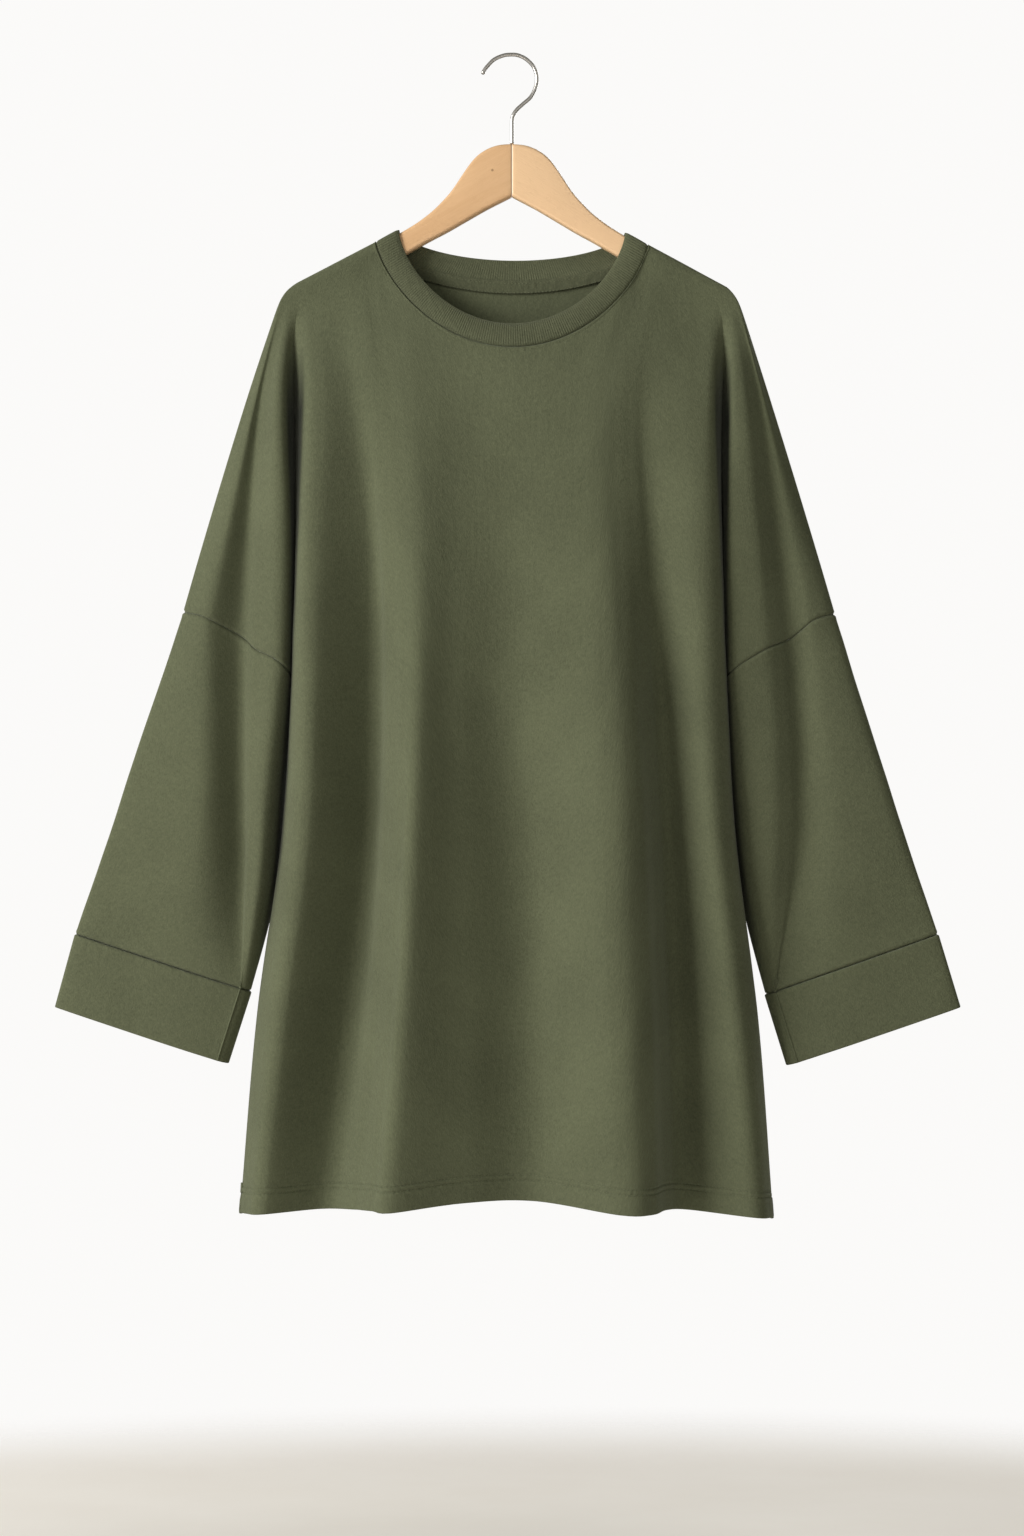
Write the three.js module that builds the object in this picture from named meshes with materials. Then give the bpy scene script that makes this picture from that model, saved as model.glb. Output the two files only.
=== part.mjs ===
import * as THREE from 'three';

// Oversized long-sleeved t-shirt hanging on a wooden hanger. Sizes are in millimetres.
// X runs to the right as the front is seen, Y runs to the back and Z runs up.
// The origin is the inside crest of the hook, where the hanger hangs.

// Walls
const clothWall = 1.5;
const ribWall = 2.0;
const cuffWall = 2.3;
const tapeWall = 1.0;
const seamGap = 0.3;
// Every sewn edge moves back slantwise by this much, towards the middle of its faces
const seamShift = 0.85 * seamGap;

// Centre line of the hook's wire, X and Z from the free end to the foot of the stem
const wireRadius = 1.75;
const wireDivisions = 4;
const hookSteps = 44;
const hookLine = [
  [-27.3, -16.4], [-25.2, -12.3], [-22.3, -8.6], [-16.4, -2.8], [-7.8, 0.95], [0, 1.75],
  [6, 1], [12.6, -2.1], [18.8, -7.9], [21.9, -14], [22.9, -20.5], [21.7, -28.4],
  [17.3, -37.2], [10, -43.8], [4.4, -49], [1.2, -54], [0, -59.6], [0, -68], [0, -80.8],
];

// Hanger
const hangerDepth = 12;
const hangerCorner = 4;
const armLean = 0.53;
const armTip = 203;
const jointGap = 0.3;
const armStations = [125, 150, 178, 190, 197];
// How much the under edge falls for the top edge's fall, and how the tip is rounded off
const armThinning = 1.02;
const tipRound = { top: 7, under: 17, half: 3.5 };

// Neck, shoulders and the way the cloth lies over the hanger
const neckHalf = 125;
const neckFall = 1.4;
const hangTilt = 0.01;
const neckTop = -172.4;
const frontNeckDrop = 98;
const backNeckDrop = 34;
const freeHalf = 104.6;
const freeTop = -160.8;
const frontFreeDrop = 88;
const backFreeDrop = 26;
// The free edge of the rib leans back by so much, lies lower and bulges between its edges
const ribLean = { front: 6, back: 2 };
const ribFall = 0.92;
const ribBulge = 1.2;
const tapeHalf = 100;
const overArm = [
  { down: 0, out: 0 },
  { down: 0.9, out: 7.4 },
  { down: 7.8, out: 8.8 },
];
const stitchDown = 13.5;
// How the cloth passes from the arm to its free hang below
const easePower = 1.2;
const spreadExtra = 25;
const spreadPower = 1.3;

// Rows of the panels: over the arm, down to the underarm, and on to the hem
const underarmRow = 11;
const hemRow = 20;
const rowCrowding = 1.15;
const underarmZ = -578;
const hemZ = -1063;

// Heights at which the fold lines are given
const foldLevels = [-230, -320, -450, -600, -720, -880, -1062];

// Fold lines of the shoulder caps. shoulder is the distance out from the neck along the shoulder,
// x is the distance from the middle at the first four levels, front and back say how far the
// line stands out, seam is the height of the armhole seam and split the columns to the next line.
const leftCapLines = [
  { line: 'fold', shoulder: 73, split: 1, ease: 7, x: [215.3, 245.5, 284.6, 327],
    front: [0, 0, 0, 0], back: [0, 0, 0, 0], seam: -511 },
  { line: 'roll', shoulder: 71, split: 2, ease: 9, x: [214.2, 241.5, 280, 322],
    front: [7, 7, 8, 9], back: [7, 6, 7, 8], seam: -512 },
  { line: 'crown', shoulder: 66, split: 2, ease: 12, x: [213, 236, 263, 295],
    front: [10, 13, 18, 22], back: [9, 10, 12, 14], seam: -518 },
  { line: 'trough', shoulder: 61, split: 1, ease: 15, x: [211.5, 230.5, 244, 254],
    front: [10, 11, 8.5, 7], back: [9, 9, 10, 10], seam: -533 },
  { line: 'flank', shoulder: 57, split: 1, ease: 18, x: [210, 223.5, 231, 238],
    front: [10, 17, 19, 17], back: [9, 12, 15, 15], seam: -546 },
  { line: 'crest', shoulder: 53, split: 1, ease: 20, x: [208, 215, 214, 215],
    front: [10, 26, 30, 28], back: [9, 15, 20, 20], seam: -556 },
  { line: 'edge', shoulder: 50, split: 1, ease: 20, x: [205, 206.5, 202, 204],
    front: [9, 22, 25, 19], back: [9, 13, 16, 14], seam: -567 },
];
const rightCapLines = [
  { line: 'edge', shoulder: 50, split: 1, ease: 20, x: [202, 200, 197, 199.5],
    front: [9, 20, 25, 23], back: [9, 13, 16, 14], seam: -567 },
  { line: 'crest', shoulder: 53, split: 1, ease: 20, x: [204, 211, 221, 232],
    front: [10, 23, 26, 24], back: [9, 15, 20, 20], seam: -548 },
  { line: 'flank', shoulder: 57, split: 1, ease: 18, x: [205.5, 219, 233, 250],
    front: [10, 18, 19, 17], back: [9, 12, 15, 15], seam: -541 },
  { line: 'trough', shoulder: 61, split: 2, ease: 15, x: [207, 227, 245, 266],
    front: [10, 12, 10.5, 8.5], back: [9, 9, 10, 10], seam: -535 },
  { line: 'crown', shoulder: 66, split: 2, ease: 12, x: [208, 231.5, 260, 292],
    front: [10, 12, 13, 14], back: [9, 10, 12, 14], seam: -520 },
  { line: 'roll', shoulder: 71, split: 1, ease: 9, x: [209, 235, 273, 317],
    front: [7, 7, 8, 9], back: [7, 6, 7, 8], seam: -514 },
  { line: 'fold', shoulder: 73, split: 0, ease: 7, x: [210, 239, 278.5, 322],
    front: [0, 0, 0, 0], back: [0, 0, 0, 0], seam: -513 },
];

// Fold lines of the body, from the left valley under the arm to the right one. shoulder or neck
// is where the line starts: millimetres out from the neck, or degrees round the neck seam.
const frontLines = [
  { line: 'valley', shoulder: 47, split: 1, ease: 25,
    x: [-201.5, -200, -199.6, -203, -212, -234, -249.6],
    out: [8, 0.8, 0.3, 0.5, 0, 0, 0], hem: -1063 },
  { line: 'edge', shoulder: 43, split: 2, ease: 28,
    x: [-192, -189, -193.5, -200, -208, -228, -243],
    out: [9, 28, 36, 33, 29, 25, 20], hem: -1061 },
  { line: 'crest', shoulder: 36, split: 3, ease: 35,
    x: [-186, -172, -176, -180, -185, -206, -226],
    out: [10, 33, 45, 49, 50, 47, 38], hem: -1059 },
  { line: 'trough', shoulder: 17, split: 3, ease: 45,
    x: [-167, -146, -130.5, -129.5, -134, -152, -175],
    out: [11, 27.5, 26, 15.5, 11, 10, 11], hem: -1058 },
  { line: 'rise', shoulder: 0, split: 1, ease: 14,
    x: [-136, -125, -117, -113, -116, -126.5, -145],
    out: [12, 30, 37, 38, 37, 35, 34], hem: -1055 },
  { line: 'neck turn', neck: 2.1, split: 1, ease: 14,
    x: [-130, -117, -108, -105, -108, -117.5, -136],
    out: [12, 31, 43, 49, 50, 48, 45], hem: -1054 },
  { line: 'neck side', neck: 9.4, split: 2, ease: 16,
    x: [-122, -107, -99, -98, -100, -109.5, -127],
    out: [13, 32, 48, 58, 61, 60, 57], hem: -1053 },
  { line: 'crest', neck: 27.6, split: 3, ease: 30,
    x: [-104, -89, -82, -83, -87, -95, -109],
    out: [18, 35, 53, 66, 72, 73, 70], hem: -1053 },
  { line: 'slope', neck: 63, split: 3, ease: 60,
    x: [-50, -47, -49, -50, -46, -44, -44],
    out: [30, 36, 46, 50, 49, 47, 43], hem: -1048 },
  { line: 'trough', neck: 91, split: 3, ease: 60,
    x: [0, 0, 0, 4, 11, 17, 20],
    out: [34, 38, 41, 36, 30, 26, 24], hem: -1049 },
  { line: 'crest', neck: 127, split: 3, ease: 40,
    x: [70, 69, 72, 78, 82, 89, 97],
    out: [24, 38, 52, 61, 66, 68, 65], hem: -1055.5 },
  { line: 'step', neck: 170.6, split: 1, ease: 16,
    x: [112, 94, 98, 107, 115, 122, 127],
    out: [15.5, 36, 47, 57, 59, 60, 57], hem: -1056.5 },
  { line: 'neck turn', neck: 177.9, split: 1, ease: 14,
    x: [125, 110, 115, 122, 129, 136, 141],
    out: [14.2, 33, 38.5, 37, 33, 31, 28], hem: -1056.5 },
  { line: 'trough', shoulder: 0, split: 4, ease: 14,
    x: [136, 125, 131, 139, 145.5, 154, 162],
    out: [12.8, 30.5, 31, 20, 13.5, 10.5, 9.5], hem: -1059 },
  { line: 'crest', shoulder: 34, split: 2, ease: 35,
    x: [174, 166, 168, 174, 182, 201, 219],
    out: [10, 33, 42, 42.5, 41.5, 39.5, 35], hem: -1062.5 },
  { line: 'edge', shoulder: 43, split: 1, ease: 28,
    x: [188, 184, 188.5, 195.5, 203, 222.5, 237],
    out: [9, 27, 32.5, 29, 25, 21, 16], hem: -1065.5 },
  { line: 'valley', shoulder: 47, split: 1, ease: 25,
    x: [197, 193.2, 193.6, 197, 204.2, 225.4, 239.2],
    out: [8, 0.8, 0.3, 0.5, 0, 0, 0], hem: -1067.5 },
];
const backLines = [
  { line: 'valley', shoulder: 47, split: 1, ease: 25,
    x: [-201.5, -200, -199.6, -203, -212, -234, -249.6],
    out: [8, 6, 4.5, 4.5, 0, 0, 0], hem: -1063 },
  { line: 'edge', shoulder: 43, split: 2, ease: 28,
    x: [-192, -189, -191, -195, -203, -226, -244],
    out: [9, 14, 18, 15, 14, 14, 12], hem: -1061 },
  { line: 'crest', shoulder: 36, split: 3, ease: 35,
    x: [-186, -173, -171, -176, -184, -203, -222],
    out: [10, 20, 27, 31, 33, 33, 30], hem: -1059 },
  { line: 'trough', shoulder: 17, split: 3, ease: 45,
    x: [-167, -146, -133, -131, -137, -152, -166],
    out: [11, 20, 22, 20, 18, 17, 15], hem: -1058 },
  { line: 'rise', shoulder: 0, split: 1, ease: 14,
    x: [-136, -122, -109, -105, -107, -114, -120],
    out: [12, 22, 28, 31, 32, 32, 30], hem: -1057 },
  { line: 'neck turn', neck: 4.5, split: 1, ease: 14,
    x: [-130, -115, -102, -97, -98, -104, -109],
    out: [12, 23, 30, 35, 37, 37, 36], hem: -1057 },
  { line: 'neck side', neck: 20.5, split: 2, ease: 16,
    x: [-122, -107, -95, -89, -89, -93, -97],
    out: [13, 24, 32, 38, 41, 42, 42], hem: -1056 },
  { line: 'crest', neck: 37, split: 3, ease: 24,
    x: [-104, -90, -80, -74, -74, -75, -76],
    out: [15, 26, 33, 38, 41, 43, 43], hem: -1056 },
  { line: 'trough', neck: 63, split: 3, ease: 40,
    x: [-50, -44, -38, -33, -29, -26, -24],
    out: [18, 25, 28, 27, 26, 25, 24], hem: -1055 },
  { line: 'swell', neck: 91, split: 3, ease: 40,
    x: [0, 4, 11, 17, 22, 28, 33],
    out: [19, 26, 31, 33, 34, 36, 36], hem: -1055 },
  { line: 'trough', neck: 127, split: 3, ease: 36,
    x: [66, 62, 64, 66, 68, 72, 76],
    out: [17, 24, 27, 27, 27, 26, 25], hem: -1056 },
  { line: 'neck side', neck: 159.5, split: 1, ease: 16,
    x: [120, 108, 104, 103, 105, 110, 116],
    out: [13, 23, 27, 29, 30, 30, 27], hem: -1058 },
  { line: 'neck turn', neck: 175.5, split: 1, ease: 14,
    x: [128, 117, 115, 115, 117, 121, 127],
    out: [12, 23, 29, 33, 35, 36, 35], hem: -1059 },
  { line: 'crest', shoulder: 0, split: 4, ease: 14,
    x: [135, 126, 125, 126, 128, 133, 139],
    out: [12, 22, 29, 36, 39, 41, 40], hem: -1060 },
  { line: 'trough', shoulder: 34, split: 2, ease: 35,
    x: [174, 165, 163, 164, 167, 180, 192],
    out: [10, 20, 25, 27, 27, 26, 24], hem: -1063 },
  { line: 'edge', shoulder: 43, split: 1, ease: 28,
    x: [188, 183.5, 186, 189, 196, 218, 235],
    out: [9, 14, 19, 17, 17, 18, 14], hem: -1065.5 },
  { line: 'valley', shoulder: 47, split: 1, ease: 25,
    x: [197, 193.2, 193.6, 197, 204.2, 225.4, 239.2],
    out: [8, 6, 4.5, 4.5, 0, 0, 0], hem: -1067.5 },
];

// Sleeves: the inner edge from the underarm to the cuff seam, and the corners of the cuff
const sleeveRows = 8;
const cuffRows = 2;
const cuffProud = 0.8;
const cuffGap = 0.5;
// How soon the sleeve's own section takes over from the armhole's
const sleeveFade = { share: 0.3, power: 1.4 };
// The inner edge slips this far back on its way down, behind the side of the body
const innerTuck = [0, 8, 8, 0];
const tuckSteepness = 12;
// Each sleeve with its fold lines. across is the share of the width from the outer edge, front and
// back are how far the line stands out, at a third, two thirds and the whole way down.
const sleeves = {
  left: {
    innerEdge: [[-203, -578], [-207.6, -671.5], [-216.8, -765], [-240, -859.7]],
    cuffSeamOuter: [-397.4, -808.2],
    cuffEndOuter: [-415.8, -875.4],
    cuffEndInner: [-261.3, -926],
    lines: [
      { line: 'fold', across: [0, 0, 0], front: [0, 0, 0], back: [0, 0, 0] },
      { line: 'roll', across: [0.04, 0.04, 0.035], front: [9, 8, 7], back: [8, 7, 7] },
      { line: 'crown', across: [0.47, 0.53, 0.64], front: [23, 21, 12.5], back: [17, 16, 12.5] },
      { line: 'trough', across: [0.69, 0.77, 0.92], front: [5, 3.8, 9.5], back: [11, 11, 10] },
      { line: 'flank', across: [0.77, 0.835, 0.94], front: [14, 11.5, 9], back: [13, 12, 9.3] },
      { line: 'crest', across: [0.86, 0.9, 0.96], front: [22, 18, 8], back: [17, 14, 8.2] },
      { line: 'edge', across: [0.95, 0.967, 0.98], front: [15, 11, 5.5], back: [13, 11, 5.6] },
      { line: 'inner', across: [1, 1, 1], front: [0, 0, 0], back: [0, 0, 0] },
    ],
  },
  right: {
    innerEdge: [[197.5, -578], [199.5, -671.5], [209.5, -765], [232.8, -862.5]],
    cuffSeamOuter: [388.2, -808.2],
    cuffEndOuter: [408.5, -875.4],
    cuffEndInner: [253, -927.8],
    lines: [
      { line: 'fold', across: [0, 0, 0], front: [0, 0, 0], back: [0, 0, 0] },
      { line: 'roll', across: [0.05, 0.05, 0.035], front: [12, 11.5, 7], back: [8, 7, 7] },
      { line: 'crown', across: [0.31, 0.37, 0.58], front: [15, 15, 12.5], back: [16, 15, 12.5] },
      { line: 'trough', across: [0.5, 0.62, 0.92], front: [6.5, 5.5, 9.5], back: [11, 11, 10] },
      { line: 'flank', across: [0.6, 0.72, 0.94], front: [14, 11.5, 9], back: [13, 12, 9.3] },
      { line: 'crest', across: [0.73, 0.82, 0.96], front: [21, 18, 8], back: [16, 14, 8.2] },
      { line: 'edge', across: [0.94, 0.955, 0.98], front: [18, 14.5, 5.5], back: [13, 11, 5.6] },
      { line: 'inner', across: [1, 1, 1], front: [0, 0, 0], back: [0, 0, 0] },
    ],
  },
};

// Top and under edge of the hanger's arm, from the middle joint to where it runs straight
const armOutline = [
  { across: 0, top: -81.2, under: -129.3 },
  { across: 8, top: -81.7, under: -133.4 },
  { across: 15, top: -83, under: -137 },
  { across: 23, top: -86.2, under: -141.2 },
  { across: 31, top: -91.5, under: -145.8 },
  { across: 38, top: -99, under: -149.9 },
  { across: 46, top: -110.5, under: -154.6 },
  { across: 55, top: -124, under: -159.9 },
  { across: 64, top: -134.5, under: -164.9 },
  { across: 74, top: -144.3, under: -170.2 },
  { across: 88, top: -155, under: -178.2 },
  { across: 104, top: -164.8, under: -187.7 },
];

// Cubic through evenly numbered values, with the end values repeated
function cubicThrough(values, at) {
  const last = values.length - 1;
  const start = Math.min(Math.max(Math.floor(at), 0), last - 1);
  const t = at - start;
  const pick = (index) => values[Math.min(Math.max(index, 0), last)];
  const [a, b, c, d] = [pick(start - 1), pick(start), pick(start + 1), pick(start + 2)];
  const slopeIn = (c - a) / 2;
  const slopeOut = (d - b) / 2;
  const t2 = t * t;
  const t3 = t2 * t;
  return b * (2 * t3 - 3 * t2 + 1) + c * (3 * t2 - 2 * t3)
    + slopeIn * (t3 - 2 * t2 + t) + slopeOut * (t3 - t2);
}

// Cubic through values given at falling heights
function atHeight(levels, values, z) {
  const last = values.length - 1;
  let k = 0;
  while (k < last - 1 && z < levels[k + 1]) k += 1;
  const span = levels[k + 1] - levels[k];
  const t = (z - levels[k]) / span;
  const grade = (i) => {
    const low = Math.max(i - 1, 0);
    const high = Math.min(i + 1, last);
    return (values[high] - values[low]) / (levels[high] - levels[low]);
  };
  if (t < 0) return values[0] + grade(0) * (z - levels[0]);
  if (t > 1) return values[last] + grade(last) * (z - levels[last]);
  const t2 = t * t;
  const t3 = t2 * t;
  return values[k] * (2 * t3 - 3 * t2 + 1) + values[k + 1] * (3 * t2 - 2 * t3)
    + span * (grade(k) * (t3 - 2 * t2 + t) + grade(k + 1) * (t3 - t2));
}

// Height of the cloth along the top of the shoulder, at x from the middle
function shoulderZ(x) {
  return neckTop - Math.max(Math.abs(x) - neckHalf, 0) * armLean - x * hangTilt;
}

// A neck curve of half width half and depth drop, at degrees round from the left shoulder
function neckCurve(half, top, drop, degrees) {
  const turn = THREE.MathUtils.degToRad(degrees);
  const x = -half * Math.cos(turn);
  return [x, top - drop * Math.max(Math.sin(turn), 0) ** neckFall - x * hangTilt];
}

// How far the cloth stands out where it lies over the arm, at a depth below the shoulder top
function outOverArm(down) {
  if (down <= 0) return 0;
  for (let i = 1; i < overArm.length; i += 1) {
    const [above, below] = [overArm[i - 1], overArm[i]];
    if (down <= below.down) {
      const t = (down - above.down) / (below.down - above.down);
      return THREE.MathUtils.lerp(above.out, below.out, t);
    }
  }
  return overArm[overArm.length - 1].out;
}

// One panel with its shoulder caps. side is -1 for the front and 1 for the back.
function makePanel(bodyLines, side) {
  const outKey = side < 0 ? 'front' : 'back';
  const neckDrop = side < 0 ? frontNeckDrop : backNeckDrop;
  const capLevels = foldLevels.slice(0, leftCapLines[0].x.length);
  const asLine = (cap, sign) => ({
    shoulder: cap.shoulder, split: cap.split, ease: cap.ease, seam: cap.seam, sign,
    x: cap.x.map((value) => sign * value), out: cap[outKey],
  });
  const lines = [
    ...leftCapLines.map((cap) => asLine(cap, -1)),
    ...bodyLines.map((line) => ({ ...line, sign: Math.sign(line.x[0]) })),
    ...rightCapLines.map((cap) => asLine(cap, 1)),
  ];
  const firstValley = leftCapLines.length;
  const lastValley = firstValley + bodyLines.length - 1;

  const topOf = (line) => (line.neck === undefined ? line.sign * (neckHalf + line.shoulder)
    : line.neck);
  const onNeck = (line, next) => line.neck !== undefined || next.neck !== undefined;
  const nextLine = (k) => lines[Math.min(k + 1, lines.length - 1)];
  const inNeck = (k, t) => onNeck(lines[k], nextLine(k)) || (t === 0 && lines[k].shoulder === 0);

  // Starting point of the column at share t from one line to the next
  function topPoint(k, t) {
    const line = lines[k];
    const next = nextLine(k);
    if (t === 0 && line.neck === undefined) {
      const x = topOf(line);
      return [x, shoulderZ(x)];
    }
    if (onNeck(line, next)) {
      const from = line.neck === undefined ? 0 : line.neck;
      const to = next.neck === undefined ? 180 : next.neck;
      return neckCurve(neckHalf, neckTop, neckDrop, THREE.MathUtils.lerp(from, to, t));
    }
    const x = THREE.MathUtils.lerp(topOf(line), topOf(next), t);
    return [x, shoulderZ(x)];
  }

  const across = (key, at) => cubicThrough(lines.map((line) => line[key]), at);
  const field = (key, at, z) => {
    const levelsOf = (line) => (line.x.length === foldLevels.length ? foldLevels : capLevels);
    const values = lines.map((line) => atHeight(levelsOf(line), line[key], z));
    return cubicThrough(values, at);
  };

  const columns = [];
  lines.forEach((line, k) => {
    const count = Math.max(line.split, 1);
    for (let part = 0; part < count; part += 1) {
      const t = part / count;
      columns.push({ at: k + t, top: topPoint(k, t), neck: inNeck(k, t) });
    }
  });

  const columnOf = (k) => columns.findIndex((column) => column.at === k);
  const leftValley = columnOf(firstValley);
  const rightValley = columnOf(lastValley);

  const rowZ = (column, row) => {
    const topZ = column.top[1];
    if (row < overArm.length) return topZ - overArm[row].down;
    const isCap = column.at < firstValley || column.at > lastValley;
    const seamValues = lines.map((line) => (line.seam === undefined ? underarmZ : line.seam));
    const bottom = isCap ? cubicThrough(seamValues, column.at) : underarmZ;
    const start = topZ - stitchDown;
    if (row <= underarmRow) {
      const share = (row - overArm.length) / (underarmRow - overArm.length);
      return THREE.MathUtils.lerp(start, bottom, share ** rowCrowding);
    }
    const share = (row - underarmRow) / (hemRow - underarmRow);
    const hems = lines.map((line) => (line.hem === undefined ? hemZ : line.hem));
    const hem = cubicThrough(hems, column.at);
    return THREE.MathUtils.lerp(underarmZ, hem, share);
  };

  // A point of the outer face. Under the arm the valleys are the side seams, at Y zero.
  function pointAt(column, row) {
    const { at, top } = column;
    const z = rowZ(column, row);
    const drop = top[1] - z;
    const ease = across('ease', at);
    const fade = Math.exp(-((drop / ease) ** easePower));
    const x = field('x', at, z) + (top[0] - field('x', at, top[1])) * fade;
    const isFold = at === 0 || at === lines.length - 1;
    const isSide = row >= underarmRow && (at === firstValley || at === lastValley);
    if (isFold || isSide || (row === 0 && !column.neck)) return new THREE.Vector3(x, 0, z);
    const below = shoulderZ(x) - z;
    const held = outOverArm(below);
    const free = field('out', at, z);
    const hanging = Math.max(below - overArm[2].down, 0) / (ease + spreadExtra);
    const spread = 1 - Math.exp(-(hanging ** spreadPower));
    return new THREE.Vector3(x, side * (held + (free - held) * spread), z);
  }

  const grid = columns.map((column, j) => {
    const isBody = j >= leftValley && j <= rightValley;
    const rows = [];
    for (let row = 0; row <= (isBody ? hemRow : underarmRow); row += 1) {
      rows.push(pointAt(column, row));
    }
    return rows;
  });
  return { grid, columns, leftValley, rightValley };
}

// A piece of cloth as points and four-sided faces, a, b, c, d counter-clockwise seen from outside
class Piece {
  constructor(name, wall) {
    this.name = name;
    this.wall = wall;
    this.points = [];
    this.faces = [];
    this.keys = new Map();
  }

  add(point) {
    const key = keyOf(point);
    if (!this.keys.has(key)) {
      this.keys.set(key, this.points.length);
      this.points.push(point.clone());
    }
    return this.keys.get(key);
  }

  addFace(a, b, c, d) {
    const corners = [a, b, c, d].map((point) => this.add(point));
    this.faces.push(corners);
  }

  // Rings run round the piece or across it, and each lies below the one before
  addRings(rings, closed) {
    for (let r = 0; r + 1 < rings.length; r += 1) {
      const count = rings[r].length;
      for (let j = 0; j < (closed ? count : count - 1); j += 1) {
        const next = (j + 1) % count;
        this.addFace(rings[r][j], rings[r + 1][j], rings[r + 1][next], rings[r][next]);
      }
    }
  }
}

function keyOf(point) {
  return [point.x, point.y, point.z].map((value) => Math.round(value * 500)).join(',');
}

function faceNormal(points, face) {
  const [a, b, c, d] = face.map((index) => points[index]);
  const across = new THREE.Vector3().subVectors(c, a);
  const up = new THREE.Vector3().subVectors(d, b);
  return across.cross(up).multiplyScalar(0.5);
}

// Normals of all pieces that are sewn together, so that both sides of a seam have the same
function sewnNormals(pieces) {
  const sums = new Map();
  pieces.forEach((piece) => piece.faces.forEach((face) => {
    const normal = faceNormal(piece.points, face);
    face.forEach((index) => {
      const key = keyOf(piece.points[index]);
      if (!sums.has(key)) sums.set(key, { normal: new THREE.Vector3(), pieces: new Set() });
      sums.get(key).normal.add(normal);
      sums.get(key).pieces.add(piece.name);
    });
  }));
  sums.forEach((entry) => entry.normal.normalize());
  return sums;
}

// The closed wall of a piece: the outer points, the same moved in by the wall, and the rims
function wallGeometry(piece, sums) {
  const { points, faces, wall } = piece;
  const centres = faces.map((face) => face.reduce((sum, index) => sum.add(points[index]),
    new THREE.Vector3()).multiplyScalar(0.25));
  const inward = points.map(() => new THREE.Vector3());
  faces.forEach((face, f) => face.forEach((index) => {
    inward[index].add(centres[f]).sub(points[index]);
  }));
  const outer = [];
  const inner = [];
  points.forEach((point, index) => {
    const entry = sums.get(keyOf(point));
    const moved = point.clone();
    if (entry.pieces.size > 1) moved.add(inward[index].clone().setLength(seamShift));
    outer.push(moved);
    inner.push(moved.clone().addScaledVector(entry.normal, -wall));
  });
  const count = points.length;
  const positions = [...outer, ...inner].flatMap((point) => point.toArray());
  const triangles = [];
  const edges = new Map();
  faces.forEach(([a, b, c, d]) => {
    triangles.push(a, b, c, a, c, d);
    triangles.push(a + count, c + count, b + count, a + count, d + count, c + count);
    [[a, b], [b, c], [c, d], [d, a]].forEach(([from, to]) => {
      if (edges.has(`${to},${from}`)) edges.delete(`${to},${from}`);
      else edges.set(`${from},${to}`, [from, to]);
    });
  });
  edges.forEach(([from, to]) => {
    const [inFrom, inTo] = [from + count, to + count];
    // Both rims of a seam are parted along the same diagonal
    if (keyOf(points[from]) < keyOf(points[to])) triangles.push(to, from, inFrom, to, inFrom, inTo);
    else triangles.push(to, from, inTo, from, inFrom, inTo);
  });
  const geometry = new THREE.BufferGeometry();
  geometry.setAttribute('position', new THREE.Float32BufferAttribute(positions, 3));
  geometry.setIndex(triangles);
  geometry.computeVertexNormals();
  return geometry;
}

function panelPiece(name, panel, side) {
  const piece = new Piece(name, clothWall);
  const { grid } = panel;
  for (let j = 0; j + 1 < grid.length; j += 1) {
    const rows = Math.min(grid[j].length, grid[j + 1].length);
    for (let i = 0; i + 1 < rows; i += 1) {
      const [left, right] = side < 0 ? [grid[j], grid[j + 1]] : [grid[j + 1], grid[j]];
      piece.addFace(left[i], left[i + 1], right[i + 1], right[i]);
    }
  }
  return piece;
}

// Loop of the armhole seam, front from left to right and then back from right to left
function armholeLoop(front, back, from, to) {
  const loop = [];
  for (let j = from; j <= to; j += 1) loop.push(front.grid[j][underarmRow]);
  for (let j = to - 1; j > from; j -= 1) loop.push(back.grid[j][underarmRow]);
  return loop;
}

// Places of the sleeve's columns: share of the width from the outer edge, and the side
function sleevePlaces(panel, from, to, outerFirst) {
  const places = [];
  const lineAt = (j) => {
    const at = panel.columns[j].at;
    return outerFirst ? at : panel.columns[panel.columns.length - 1].at - at;
  };
  for (let j = from; j <= to; j += 1) places.push({ at: lineAt(j), key: 'front' });
  for (let j = to - 1; j > from; j -= 1) places.push({ at: lineAt(j), key: 'back' });
  return places;
}

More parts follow.
